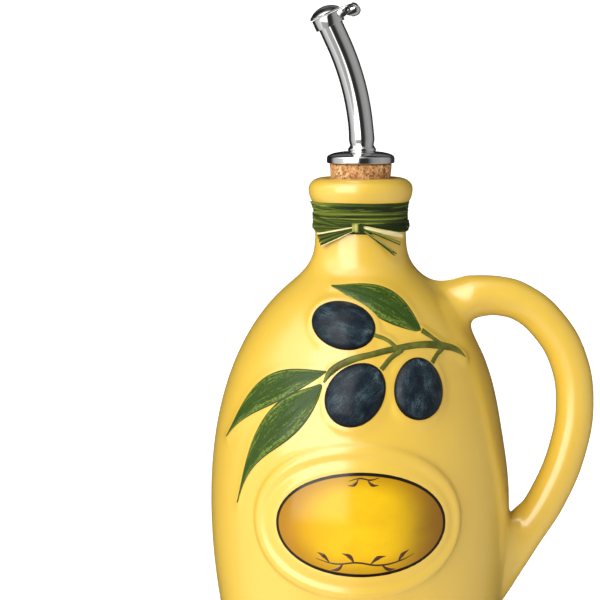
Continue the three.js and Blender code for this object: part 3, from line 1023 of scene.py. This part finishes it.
lidPlan = {
    "radius": 6.25,
    "rim": 0.6,
    "crown": 2.7,
    "arm": [(5.2, 0.75), (5.2, 0.05), (6.2, 0.02), (6.7, -0.9), (11.2, -0.9), (12.4, -2.6), (13.0, -2.6),
            (12.6, -0.9), (11.2, 0.2), (8.4, 0.45), (6.6, 0.78)],
    "armHalf": 2.2,
    "armBevel": 0.3,
    "barrel": ((6.3, -2.55), (10.9, -3.05)),
    "barrelRadius": 2.2,
    "swing": 52, # degrees that the weight needs room for
    "room": 2.1, # the radius of that room round the pin
    "roomStart": 4.6,
}


def makeDisc(plan):
    high = plan["lowZ"] + plan["skirt"]
    radius, edge, flat, top = plan["radius"], plan["round"], plan["flatRadius"], plan["topZ"]
    low = arc((radius - edge, plan["lowZ"] + edge), (edge, edge), -90, 0, 5)
    dome = arc((flat, high), (radius - flat, top - high), 9, 90, 30)
    outline = [(0, plan["lowZ"])] + low + [(radius, high - 0.2), (radius - 0.03, high)]
    disc = spinOutline("spoutDisc", outline + dome + [(plan["innerRadius"], top), (0, top)], 128)
    smoothShade(disc, 40)
    return disc


def bendSpout(piece, plan):
    # a straight turned tube along Z is laid on the spout's centre line
    across, y, along = (points(piece) / mm).T
    tilt = math.radians(plan["tiltDegrees"])
    angle = np.minimum(along / plan["bend"], tilt)
    rest = np.maximum(along - plan["bend"] * tilt, 0)
    x = plan["start"][0] - plan["bend"] * (1 - np.cos(angle)) - rest * np.sin(angle)
    z = plan["start"][1] + plan["bend"] * np.sin(angle) + rest * np.cos(angle)
    x, z = x + across * np.cos(angle), z + across * np.sin(angle) + np.minimum(along, 0)
    setPoints(piece, np.stack([x, y, z], 1) * mm)


def makeSpout(plan):
    length = plan["bend"] * math.radians(plan["tiltDegrees"]) + plan["straight"]
    mouth = length - plan["seatGap"]
    outer, inner, bottom = plan["radius"], plan["mouthRadius"], mouth - plan["mouthDepth"]
    lip = (outer - inner) / 2
    foot = evenly(arc(*plan["footRing"], -90, 75, 10) + plan["foot"], 0.3)
    tube = evenly([plan["foot"][-1], (outer, mouth - lip)], 0.8)
    rim = arc((inner + lip, mouth - lip), (lip, lip), 0, 180, 10)
    bore = evenly([(inner, mouth - lip), (inner, bottom)], 0.9)
    outline = [(0, -0.3), (4.6, -0.3)] + foot + tube[1:] + rim[1:] + bore[1:] + [(0, bottom)]
    spout = spinOutline("spoutTube", outline, 96)
    bendSpout(spout, plan)
    smoothShade(spout, 40)
    return spout


tipOrigin = (-13.439, 0, 262.498) # the middle of the lid's seat


def toTip(piece):
    # from the lid's seat (X out to the hinge, Z along the spout) to the bottle's frame
    settle(piece)
    local = points(piece) / mm
    x, z = turned(local[:, 0], local[:, 2], spoutPlan["tiltDegrees"])
    setPoints(piece, np.stack([tipOrigin[0] + x, local[:, 1], tipOrigin[2] + z], 1) * mm)


def plate(name, outline, low, high, bevel):
    # a plate with its outline in XZ, extruded along Y, its edges rounded
    piece = drawOutline(name, outline, low)
    bpy.ops.mesh.edge_face_add()
    bpy.ops.mesh.extrude_region_move(TRANSFORM_OT_translate={"value": (0, (high - low) * mm, 0)})
    outwards(piece, merge=0)
    settle(piece)
    if bevel:
        applyModifier(piece, "BEVEL", width=bevel * mm, segments=3, limit_method="ANGLE",
                      angle_limit=math.radians(28))
    return piece


def rod(name, outline, start, end, steps=64):
    # an outline (radius, distance along) turned round the line from start to end, in mm
    start, end = np.array(start, float), np.array(end, float)
    piece = spinOutline(name, outline, steps)
    axis = unitRows(end - start)
    side = unitRows(np.cross(axis, (0, 1, 0.001) if abs(axis[1]) < 0.9 else (1, 0, 0)))
    local = points(piece) / mm
    setPoints(piece, (start + local @ np.stack([side, np.cross(axis, side), axis])) * mm)
    return piece


def drillOut(piece, radius, start, end, steps=32):
    # a round hole from start to end, in mm
    length = math.dist(start, end)
    drill = rod("drill", [(0, 0), (radius, 0), (radius, length), (0, length)], start, end, steps)
    combine(piece, drill, "DIFFERENCE")


def makeCollar(plan):
    low, high = -plan["collarLength"] - spoutPlan["seatGap"], -spoutPlan["seatGap"]
    inner, outer = plan["collarInner"], plan["collarOuter"]
    outline = [(inner, low), (outer - 0.2, low), (outer - 0.06, low + 0.06), (outer, low + 0.2),
               (outer, high - 0.25), (outer - 0.08, high - 0.08), (outer - 0.25, high), (inner, high),
               (inner, low)]
    collar = spinOutline("spoutCollar", outline, 128)
    x, z = plan["pivot"]
    ear = plan["ear"] + arc((x, z), (plan["earRound"],) * 2, -90, 70, 18)
    for side in (-1, 1):
        near, far = side * plan["earInside"], side * (plan["earInside"] + plan["earThickness"])
        cheek = plate("ear", ear, min(near, far), max(near, far), plan["earBevel"])
        drillOut(cheek, inner - 0.02, (0, 0, -7), (0, 0, 5), 64)
        drillOut(cheek, plan["hole"], (x, near - side, z), (x, near + side * 2, z))
        combine(collar, cheek, "UNION")
    toTip(collar)
    smoothShade(collar, 35)
    return collar


def makePin(plan):
    x, z = plan["pivot"]
    reach = plan["earInside"] + plan["earThickness"] + 0.2
    head = plan["headThick"]
    wide = plan["headRadius"]
    near = [(0, 0.6), (0.5, 0.58), (0.8, 0.4), (0.86, -head + 0.1), (0.92, -head), (1.0, -head + 0.04),
            (1.1, -head + 0.18), (wide, -0.08), (wide, 0), (plan["pinRadius"], 0)]
    far = [(r, 2 * reach - h) for r, h in reversed(near)]
    pin = rod("hingePin", near + far, (x, -reach, z), (x, reach, z), 48)
    toTip(pin)
    outwards(pin)
    smoothShade(pin, 40)
    return pin


def makeLid(plan):
    radius, rim, crown = plan["radius"], plan["rim"], plan["crown"]
    crownRadius = (radius ** 2 + crown ** 2) / (2 * crown)
    half = math.degrees(math.asin(radius / crownRadius))
    dome = arc((0, rim + crown - crownRadius), (crownRadius,) * 2, 90 - half, 90, 24)
    edge = [(0, 0), (radius - 0.15, 0), (radius, 0.15), (radius, rim - 0.1)]
    lid = spinOutline("spoutLid", edge + dome[:-1] + [(0, rim + crown)], 128)
    combine(lid, plate("arm", plan["arm"], -plan["armHalf"], plan["armHalf"], plan["armBevel"]), "UNION")
    (x0, z0), (x1, z1) = plan["barrel"]
    length, thick = math.hypot(x1 - x0, z1 - z0), plan["barrelRadius"]
    outline = ([(0, 0), (thick - 0.3, 0), (thick - 0.08, 0.1), (thick, 0.35), (thick, length)]
               + arc((0, length), (thick, thick), 0, 90, 16)[1:])
    combine(lid, rod("barrel", outline, (x0, 0, z0), (x1, 0, z1)), "UNION")
    x, z = hingePlan["pivot"]
    drillOut(lid, hingePlan["hole"], (x, -5, z), (x, 5, z))
    # room under the hinge, so that the barrel clears the collar as the lid swings open
    room = plan["room"]
    endX, endZ = turned(room, 5, 180 + plan["swing"])
    swept = arc((x, z), (room, room), 180, 180 + plan["swing"], 14)
    inner = plan["roomStart"]
    combine(lid, plate("room", [(inner, z)] + swept + [(x + endX, z + endZ), (inner, z + endZ)], -5, 5, 0),
            "DIFFERENCE")
    toTip(lid)
    smoothShade(lid, 35)
    return lid


disc = makeDisc(discPlan)
spout = makeSpout(spoutPlan)
collar = makeCollar(hingePlan)
pin = makePin(hingePlan)
lid = makeLid(lidPlan)
print("pourer made:", sum(len(p.data.polygons) for p in (disc, spout, collar, pin, lid)), "faces")


# The raffia tie: flat strands wound round the neck, a knot at the front and short cut ends

tiePlan = {
    "seed": 5,
    "inside": 17.5,
    "lowZ": 180.3,
    "highZ": 191.2,
    "strands": 54,
    "around": 110,
    "wallTop": 190.4,
    "offWall": 0.15,
    "uneven": 0.2, # how far heights and tilts vary
    "wander": (0.05, 0.3),
    "loose": 0.45,
    "ripple": 0.05,
    "width": (0.5, 1.25),
    "thick": 0.26,
    "tone": (0.28, 0.20), # mean and spread, from dark green 0 to straw 1
    "palest": 0.62,
    "bulges": [(1.5, 182.0, 0.85), (-1.55, 190.6, 0.6)], # turn, height and rise of the folds at the sides
    "fans": 15,
    "fanTones": (0.03, 0.22, 0.10, 0.34),
    "fanSpread": (6.6, 2.0), # over what height they start, on the left and on the right
    "fanTurns": (2.9, 0.08),
    "fanWidth": (0.45, 0.75),
    "fanThick": 0.3,
    "endThick": 0.24,
    "endTaper": ([0, 0.15, 0.6, 1], [0.6, 0.75, 1, 0.9]),
    "bendRadius": 19.7,
    "knot": (-0.5, 181.9),
    "ends": [
        # the end's place across, up and out; half width; tone; start sideways and up from the knot
        [(-16.6, 179.2, 9.9), 0.42, 0.92, (-1.2, 0.5)],
        [(-16.6, 178.4, 10.0), 0.45, 0.10, (-1.2, 0.3)],
        [(-16.3, 177.6, 10.6), 0.42, 0.30, (-1.0, 0.2)],
        [(-15.9, 176.9, 11.2), 0.45, 0.05, (-1.0, 0.0)],
        [(-16.0, 176.2, 11.2), 0.38, 0.38, (-0.9, -0.2)],
        [(-15.5, 175.5, 12.0), 0.40, 0.12, (-0.8, -0.4)],
        [(-15.2, 174.7, 12.4), 0.26, 0.90, (-0.8, -0.5)],
        [(-15.4, 174.9, 12.1), 0.30, 0.06, (-0.7, -0.6)],
        [(15.9, 178.4, 11.2), 0.85, 0.98, (1.2, 0.4)],
        [(15.5, 179.5, 11.4), 0.35, 0.80, (1.2, 0.6)],
        [(14.9, 175.2, 13.0), 0.32, 0.30, (1.0, -0.3)],
        [(15.1, 176.1, 12.8), 0.30, 0.55, (1.1, -0.1)],
        [(13.4, 171.9, 15.0), 0.36, 0.40, (0.8, -0.6)],
        [(12.7, 171.3, 15.5), 0.30, 0.15, (0.7, -0.7)],
        [(12.0, 173.0, 15.8), 0.28, 0.68, (0.7, -0.7)],
        [(12.5, 172.2, 15.6), 0.26, 0.30, (0.8, -0.8)],
    ],
    # loops of the knot: across, tone, width, lean, size
    "loops": [(-2.5, 0.66, 1.2, 0.10, 0.9), (-1.5, 0.74, 1.25, 0.02, 1.0), (-0.6, 0.45, 0.9, -0.05, 0.95),
              (0.5, 0.06, 1.2, -0.30, 1.12), (1.4, 0.20, 1.0, -0.45, 1.0)],
    "loopThick": 0.28,
    "loopCrown": 0.2,
}


def flatStrand(name, path, side, outward, widths, crown, thick, pattern):
    # a strip of raffia along the path, crowned across; pattern holds each step's reach and tone
    steps = len(path) - 1
    piece, unit = newGrid(name, steps, 4)
    column = np.rint((unit[:, 0] + 1) / 2 * steps).astype(int)
    across = (unit[:, 1] * (np.zeros(steps + 1) + widths)[column] / 2)[:, None]
    place = path[column] + side[column] * across + outward[column] * ((1 - unit[:, 1] ** 2) * crown)[:, None]
    reach, tone = pattern
    tones = (np.zeros(steps + 1) + tone)[column] + 0.02 * unit[:, 1]
    keepFlat(piece, np.stack([reach[column] / 100, tones], 1))
    setPoints(piece, place * mm)
    applyModifier(piece, "SOLIDIFY", thickness=thick * mm, offset=-1)
    outwards(piece)
    return piece


def layRibbon(name, path, widths, tone, thick, tilts):
    # a strand along a path round the neck, its flat side outwards, turned by tilts about its line
    forward = unitRows(np.gradient(path, axis=0))
    side = unitRows(np.cross(unitRows(path * (1, 1, 0)), forward))
    outward = np.cross(forward, side)
    tilts = (np.zeros(len(path)) + tilts)[:, None]
    cosine, sine = np.cos(tilts), np.sin(tilts)
    return flatStrand(name, path, side * cosine + outward * sine, outward * cosine - side * sine, widths,
                      thick * 0.6, thick, (lengthAlong(path), tone))


def knotLoop(name, path, width, tone, plan):
    # a strand drawn once round the others at the knot, its axis along X
    outward = unitRows((path - path.mean(0)) * (0, 1, 1))
    side = unitRows(np.cross(outward, unitRows(np.gradient(path, axis=0))))
    return flatStrand(name, path, side, outward, width, plan["loopCrown"], plan["loopThick"],
                      (np.arange(len(path)), tone))


def roundNeck(turns, radius, height):
    # points at these turns from the front
    return np.stack([radius * np.sin(turns), -radius * np.cos(turns), height], 1)


def windStrand(index, plan, chance):
    # one strand that goes right round the neck
    turns = np.linspace(-math.pi, math.pi, plan["around"] + 1)
    low, high, uneven = plan["lowZ"], plan["highZ"], plan["uneven"]

    def wave(count):
        return np.sin(count * turns + chance.uniform(0, 6.28))

    height = low + (high - low) * (index + 0.5) / plan["strands"] + chance.uniform(-uneven, uneven)
    wander = sum(chance.uniform(*plan["wander"]) * wave(count) for count in (1, 2, 3))
    height = np.clip(height + wander, low - 0.2, high + 0.1)
    wall = wallRadius(np.minimum(height, plan["wallTop"])) + plan["offWall"]
    radius = np.maximum(plan["inside"], wall) + chance.uniform(0, plan["loose"])
    radius = radius + sum(plan["ripple"] * wave(count) for count in (2, 5))
    for turn, z, rise in plan["bulges"]:
        radius = radius + rise * bulge(turns, turn, 0.22) * bulge(height, z, 1.6)
    width = chance.uniform(*plan["width"]) * (1 + 0.2 * wave(2))
    tone = min(max(chance.gauss(*plan["tone"]), 0), plan["palest"])
    # painted shade: each strand's tone drops towards the right of the neck, the side away from the light,
    # and rises towards the left
    tone = tone + 0.10 * wave(2) - 0.13 * np.sin(turns)
    tone = tone + 0.45 * (index % 9 == 4) * bulge(turns, chance.uniform(-1.4, -0.5), 0.25)
    path = roundNeck(turns, radius, height)
    return layRibbon("strand", path, width, tone, plan["thick"], chance.uniform(-uneven, uneven))


def fanStrand(index, plan, chance):
    # a strand that runs with others from the side into the knot
    side, spread = (-1, plan["fanSpread"][0]) if index % 4 else (1, plan["fanSpread"][1])
    shares = np.linspace(0, 1, 61)
    start = plan["lowZ"] + 0.3 + spread * index / plan["fans"]
    start = start + chance.uniform(-plan["uneven"], plan["uneven"])
    height = start + (plan["knot"][1] + chance.uniform(-0.5, 0.9) - start) * softStep(shares, 0.45, 1.0)
    radius = plan["inside"] + 0.5 + 0.45 * shares + chance.uniform(0, 0.25)
    first, last = plan["fanTurns"]
    path = roundNeck(side * (first + (last - first) * shares), radius, height)
    tone = plan["fanTones"][index % 4] + 0.4 * (index in (2, 9)) * bulge(shares, 0.55, 0.12)
    width = chance.uniform(*plan["fanWidth"])
    return layRibbon("fan", path, width, tone, plan["fanThick"], chance.uniform(-0.25, 0.25))


def endStrand(end, half, tone, aside, front, plan):
    # a cut end that leaves the knot and bends round the neck
    x, z = plan["knot"]
    across, up, out = end
    startX, startZ = x + aside[0], z + aside[1]
    bendY = -math.sqrt(max(plan["bendRadius"] ** 2 - (across * 0.72) ** 2, 1))
    path = np.array(bezier(((startX, front, startZ),
                            (startX + across * 0.3, front - 0.7, startZ + (up - z) * 0.25),
                            (across * 0.72, bendY, z + (up - z) * 0.7),
                            (across, -out, up)), 24))
    shares = np.linspace(0, 1, 25)
    width = 2 * half * np.interp(shares, *plan["endTaper"])
    return layRibbon("end", path, width, tone, plan["endThick"], 0.25 * np.sin(shares * 5 + across * 3))


def makeTie(plan):
    chance = random.Random(plan["seed"])
    strands = [windStrand(index, plan, chance) for index in range(plan["strands"])]
    strands += [fanStrand(index, plan, chance) for index in range(plan["fans"])]
    front = -plan["inside"] - 1.3
    strands += [endStrand(end, half, tone, aside, front, plan) for end, half, tone, aside in plan["ends"]]
    x, z = plan["knot"]
    angles = np.radians(np.linspace(-80, 260, 41))
    for across, tone, width, lean, size in plan["loops"]:
        tall = 1.4 * size
        path = np.stack([x + across + lean * tall * np.sin(angles), front + 0.3 - size * np.sin(angles),
                         z + tall * np.cos(angles)], 1)
        strands.append(knotLoop("loop", path, width, tone, plan))
    tie = joined("raffiaTie", strands)
    settle(tie)
    smoothShade(tie, 60)
    return tie


tie = makeTie(tiePlan)
print("tie wound:", len(tie.data.polygons), "faces")


# Finishes

finishPlan = {
    "glaze": (0.72, 0.470, 0.050),
    "glazeDeep": (0.68, 0.37, 0.015),
    "clay": (0.66, 0.55, 0.40),
    "coat": 1.0,
    "coatRoughness": 0.20,
    "bareFoot": (0.0009, 0.0016), # in metres above the ground
    "steel": (0.80, 0.80, 0.79),
    "pinSteel": (0.16, 0.16, 0.16),
    "corkFleck": (0.09, 0.030, 0.010),
    "corkStops": [(0.0, (0.20, 0.075, 0.022)), (0.25, (0.47, 0.22, 0.08)), (0.8, (0.64, 0.35, 0.14)),
                  (1.0, (0.80, 0.52, 0.27))],
    "raffiaStops": [(0.0, (0.012, 0.022, 0.003)), (0.22, (0.042, 0.066, 0.006)),
                    (0.42, (0.105, 0.142, 0.012)), (0.62, (0.280, 0.310, 0.035)),
                    (0.80, (0.640, 0.580, 0.190)), (1.0, (0.820, 0.720, 0.390))],
    "olive": (0.004, 0.008, 0.014),
    "oliveStroke": (0.058, 0.100, 0.118),
    "oliveGrit": (0.20, 0.27, 0.29),
    "oliveRim": (0.006, 0.006, 0.007),
    "leaf": (0.028, 0.062, 0.005),
    "leafPale": (0.215, 0.300, 0.040),
    "leafFleck": (0.38, 0.43, 0.16),
    "leafRim": (0.035, 0.050, 0.012),
    "twig": (0.055, 0.062, 0.008),
    "twigPale": (0.160, 0.172, 0.026),
    "plaque": (0.60, 0.315, 0.001),
    "plaquePale": (0.82, 0.53, 0.004),
    "plaqueLeft": (0.44, 0.19, 0.001),
    # painted shade for the plaque's right end, on the side away from the light
    "plaqueRight": (0.14, 0.062, 0.002),
    "plaqueEdge": (0.25, 0.10, 0.003),
    "plaqueLine": (0.010, 0.004, 0.001),
    "brush": (0.030, 0.012, 0.004),
    "brushThin": (0.110, 0.045, 0.012),
}


def glazeFinish(plan):
    material, nodes, shader = newFinish("warmYellowGlaze", IOR=1.45, Coat_IOR=1.68,
                                        Coat_Roughness=plan["coatRoughness"])
    where = nodes.onPiece()
    clouds = nodes.noise(where, 28.0, 3.0, 0.5).ramp(0.35, 0.75)
    speckle = nodes.noise(where, 900.0, 2.0, 0.6).ramp(0.62, 0.75)
    bare = nodes.xyz(where).part("Z").ramp(*plan["bareFoot"], 1.0, 0.0)
    colour = nodes.mix(clouds * 0.22, plan["glaze"], plan["glazeDeep"])
    colour = nodes.mix(speckle * 0.10, colour, plan["glazeDeep"])
    ripple = nodes.noise(where, 160.0, 2.0, 0.5) * 0.6 + nodes.noise(where, 45.0, 1.0, 0.5)
    nodes.paint(shader, nodes.mix(bare, colour, plan["clay"]), 0.5 + bare * 0.35, ripple, 0.08, 0.0006)
    nodes.put(shader.inputs["Coat Weight"], (1.0 - bare) * plan["coat"])
    return material


def steelFinish(name, colour):
    material, nodes, shader = newFinish(name, Metallic=1.0)
    where = nodes.onPiece()
    smear = nodes.noise(where, 220.0, 4.0, 0.6).ramp(0.4, 0.8)
    colour = nodes.mix(smear * 0.2, colour, tuple(c * 0.8 for c in colour))
    nodes.paint(shader, colour, 0.07 + smear * 0.06, nodes.noise(where, 120.0, 2.0, 0.5), 0.05, 0.0004)
    return material


def corkFinish(plan):
    material, nodes, shader = newFinish("pressedCork", IOR=1.4)
    where = nodes.onPiece()
    grains = nodes.add("TexVoronoi", {"feature": "F1"}, {"Vector": where, "Scale": 1050.0}, "Color")
    shade = nodes.add("SeparateColor", {}, {"Color": grains}, 0)
    colour = nodes.add("ValToRGB", {"stops": plan["corkStops"]}, {"Fac": shade})
    fleck = nodes.noise(where, 1250.0, 4.0, 0.7).ramp(0.54, 0.62)
    nodes.paint(shader, nodes.mix(fleck * 0.8, colour, plan["corkFleck"]), 0.75 + shade * 0.15,
                nodes.noise(where, 900.0, 4.0, 0.65) + shade * 0.5, 0.35, 0.0003)
    return material


def raffiaFinish(plan):
    material, nodes, shader = newFinish("dyedRaffia", IOR=1.3)
    where = nodes.onFlat()
    fibre = nodes.fibres(where, (60.0, 2600.0), 3.0, 0.6)
    patch = nodes.fibres(where, (9.0, 30.0), 2.0, 0.5)
    shade = nodes.xyz(where).part("Y") + (fibre - 0.5) * 0.30 + (patch - 0.5) * 0.22
    colour = nodes.add("ValToRGB", {"stops": plan["raffiaStops"]}, {"Fac": shade})
    nodes.paint(shader, colour, 0.55 + fibre * 0.25, fibre, 0.7, 0.0003)
    return material


def overGlaze(name, coat, roughness):
    return newFinish(name, IOR=1.22, Coat_Weight=coat, Coat_Roughness=roughness, Coat_IOR=1.5)


def oliveFinish(plan):
    material, nodes, shader = overGlaze("oliveUnderGlaze", 0.15, 0.14)
    where = nodes.onFlat()
    reach = nodes.add("VectorMath", {"operation": "LENGTH"}, {0: where}, "Value")
    slanted = nodes.add("Mapping", {}, {"Vector": where, "Rotation": (0, 0, 0.15)})
    brush = nodes.fibres(slanted, (1.3, 8.0), 6.0, 0.66, 1.2)
    patch = nodes.noise(where, 1.9, 2.0, 0.5)
    grit = nodes.noise(where, 34.0, 4.0, 0.75)
    strokes = (brush * 0.6 + patch * 0.7 + (grit - 0.5) * 1.1).ramp(0.56, 1.0)
    colour = nodes.mix(strokes * 0.85, plan["olive"], plan["oliveStroke"])
    specks = (grit + (patch - 0.5) * 0.9).ramp(0.66, 0.80)
    colour = nodes.mix(specks * 0.45, colour, plan["oliveGrit"])
    rim = (reach + (grit - 0.5) * 0.05).ramp(0.90, 0.945)
    colour = nodes.mix(rim, colour, plan["oliveRim"])
    nodes.paint(shader, colour, 0.42 + strokes * 0.12, brush, 0.10, 0.0006)
    return material


def leafFinish(plan):
    material, nodes, shader = overGlaze("leafUnderGlaze", 0.26, 0.16)
    flat = nodes.onFlat()
    edge = nodes.xyz(flat).part("Y").math("ABSOLUTE")
    streaks = nodes.fibres(flat, (6.0, 6.5), 5.0, 0.65, 0.5)
    fine = nodes.fibres(flat, (42.0, 16.0), 4.0, 0.7, 0.3)
    pale = (edge * 0.6 + (streaks - 0.5) * 1.6 + (fine - 0.5) * 1.9).ramp(0.28, 0.90)
    colour = nodes.mix(pale, plan["leaf"], plan["leafPale"])
    fleck = (nodes.fibres(flat, (70.0, 26.0), 3.0, 0.7) + (streaks - 0.5) * 0.6).ramp(0.60, 0.72)
    colour = nodes.mix(fleck * 0.28, colour, plan["leafFleck"])
    colour = nodes.mix((edge + (fine - 0.5) * 0.12).ramp(0.86, 0.97), colour, plan["leafRim"])
    nodes.paint(shader, colour, 0.45 + fine * 0.2, streaks, 0.15, 0.0005)
    return material


def twigFinish(plan):
    material, nodes, shader = overGlaze("twigUnderGlaze", 0.2, 0.16)
    shade = nodes.noise(nodes.onPiece(), 130.0, 3.0, 0.55)
    colour = nodes.mix(shade.ramp(0.3, 0.7), plan["twig"], plan["twigPale"])
    nodes.paint(shader, colour, 0.45 + shade * 0.2, shade, 0.06, 0.0004)
    return material


def plaqueFinish(plan):
    material, nodes, shader = overGlaze("plaqueUnderGlaze", 0.5, 0.10)
    flat = nodes.onFlat()
    across = nodes.xyz(flat).part("X")
    reach = nodes.add("VectorMath", {"operation": "LENGTH"}, {0: flat}, "Value")
    cloud = nodes.noise(flat, 2.2, 4.0, 0.6)
    grain = nodes.noise(flat, 120.0, 3.0, 0.75)
    gold = nodes.mix((cloud * 0.25 + grain * 0.75).ramp(0.36, 0.64), plan["plaque"], plan["plaquePale"])
    spread = (cloud - 0.5) * 0.3 + (grain - 0.5) * 0.5
    # darker towards the left and the edge, the gold's own tone; much darker towards the right end, painted
    # shade where the bottle turns away from the light
    gold = nodes.mix((across * -1.0 + spread).ramp(0.2, 0.95) * 0.8, gold, plan["plaqueLeft"])
    gold = nodes.mix((across + spread).ramp(0.25, 0.95) * 0.9, gold, plan["plaqueRight"])
    gold = nodes.mix((reach + spread * 0.3).ramp(0.55, 1.0) * 0.62, gold, plan["plaqueEdge"])
    long, short = plaquePlan["half"]
    inward = (1 - reach) * (short + (long - short) * across * across) + (cloud - 0.5) * 0.25
    line = inward.ramp(plaquePlan["line"] - 0.15, plaquePlan["line"] + 0.15, 1.0, 0.0)
    colour = nodes.mix(line, gold, plan["plaqueLine"])
    nodes.paint(shader, colour, 0.42 + grain * 0.15, grain, 0.12, 0.0003)
    return material


def sprigFinish(plan):
    material, nodes, shader = overGlaze("brownBrushLine", 0.8, 0.10)
    shade = nodes.noise(nodes.onPiece(), 700.0, 3.0, 0.6)
    nodes.paint(shader, nodes.mix(shade, plan["brush"], plan["brushThin"]), 0.35 + shade * 0.15)
    return material


steel = steelFinish("polishedSteel", finishPlan["steel"])
for pieces, makeFinish in (([ceramic], glazeFinish), (olives, oliveFinish), (leaves, leafFinish),
                           (twigs, twigFinish), ([plaque], plaqueFinish), ([sprig], sprigFinish)):
    material = makeFinish(finishPlan)
    for piece in pieces:
        dress(piece, "bottle", "glaze", material, "ceramic_bottle")
dress(cork, "bottle", "cork", corkFinish(finishPlan), "cork")
for piece, node in ((disc, "spout_disc"), (spout, "spout_tube"), (collar, "spout_collar")):
    dress(piece, "bottle", "steel", steel, node)
dress(pin, "bottle", "steel", steelFinish("darkSteel", finishPlan["pinSteel"]), "hinge_pin")
dress(lid, "lid", "steel", steel, "spout_lid")
dress(tie, "bottle", "raffia", raffiaFinish(finishPlan), "raffia_tie")
print("finishes on")


# Studio: a pale floor and a soft room that is bright at the front left

studioPlan = {
    "floorSize": 60.0,
    "floor": (0.86, 0.86, 0.86),
    "floorDeep": (0.84, 0.84, 0.84),
    "floorGlow": 0.5,
    # the walls' glow round the room: turn from the front in degrees, to the right, and strength
    "room": [(-180, 0.02), (-124, 0.02), (-112, 0.2), (-104, 0.55), (-74, 0.75), (-60, 1.0), (-54, 0.5),
             (-9, 0.4), (-3, 0.04), (8, 0.03), (24, 0.04), (44, 0.33), (80, 0.42), (108, 0.32),
             (120, 0.25), (126, 0.05), (180, 0.02)],
    "side": (-102, -58),
    "sideRise": (27, 71),
    "sideGlow": 1.4,
    "window": (-58, -11),
    "windowGlow": 4.0,
    "windowLow": -7,
    "windowHigh": 62,
    "ceiling": 0.2,
    "overhead": 1.9,
    "backWindow": (150, 24, 52),
    "backGlow": 0.12,
    "below": 0.12,
}


def makeFloor(plan):
    deselectAll()
    bpy.ops.mesh.primitive_plane_add(size=plan["floorSize"], location=(0, 0, 0))
    floor = named("floor")
    material, nodes, shader = newFinish("paleFloor", Roughness=0.9, Emission_Strength=plan["floorGlow"],
                                        Emission_Color=(1, 1, 1, 1))
    tone = nodes.mix(nodes.noise(nodes.onPiece(), 3.0) * 0.1, plan["floor"], plan["floorDeep"])
    nodes.put(shader.inputs["Base Color"], tone)
    floor.data.materials.append(material)
    floor.visible_glossy = False # what the pieces reflect below them is in the room's own glow


def makeRoom(plan):
    room = bpy.data.worlds.new("room")
    bpy.context.scene.world = room
    room.use_nodes = True
    nodes = Nodes(room.node_tree)
    where = nodes.xyz(nodes.add("TexCoord", {}, {}, "Generated"))
    turn = where.part("X").math("ARCTAN2", where.part("Y") * -1.0) * (180 / math.pi)
    rise = where.part("Z").math("ARCSINE") * (180 / math.pi)
    stops = [((at + 180) / 360, (glow,) * 3) for at, glow in plan["room"]]
    walls = nodes.add("ValToRGB", {"stops": stops}, {"Fac": turn * (1 / 360) + 0.5})
    walls = nodes.add("SeparateColor", {}, {"Color": walls}, 0)
    window = turn.window(*plan["window"], 3, 5) * rise.window(plan["windowLow"], plan["windowHigh"], 3, 4)
    overhead = rise.ramp(48, 68) * where.part("X").ramp(-0.2, 0.25, 1.0, 0.15)
    overhead = overhead * where.part("Y").ramp(-0.1, 0.2, 1.0, 0.05)
    aside = turn.window(*plan["side"], 10, 4) * rise.window(*plan["sideRise"], 9, 5)
    side, low, high = plan["backWindow"]
    behind = turn.math("ABSOLUTE").ramp(side - 3, side + 3) * rise.window(low, high, 3, 3)
    glow = walls * rise.ramp(44, 66, 1.0, plan["ceiling"]) + rise.ramp(-52, -38, 1.0, 0.0) * plan["below"]
    for light, strength in ((window, "windowGlow"), (overhead, "overhead"), (aside, "sideGlow"),
                            (behind, "backGlow")):
        glow = glow + light * plan[strength]
    seen = nodes.add("LightPath", {}, {}, "Is Camera Ray")
    background = room.node_tree.nodes["Background"]
    background.inputs["Color"].default_value = (1, 1, 1, 1)
    nodes.put(background.inputs["Strength"], glow * (1 - seen) + seen)
    bpy.context.scene.view_settings.view_transform = "Standard"


makeFloor(studioPlan)
makeRoom(studioPlan)
print("studio set")
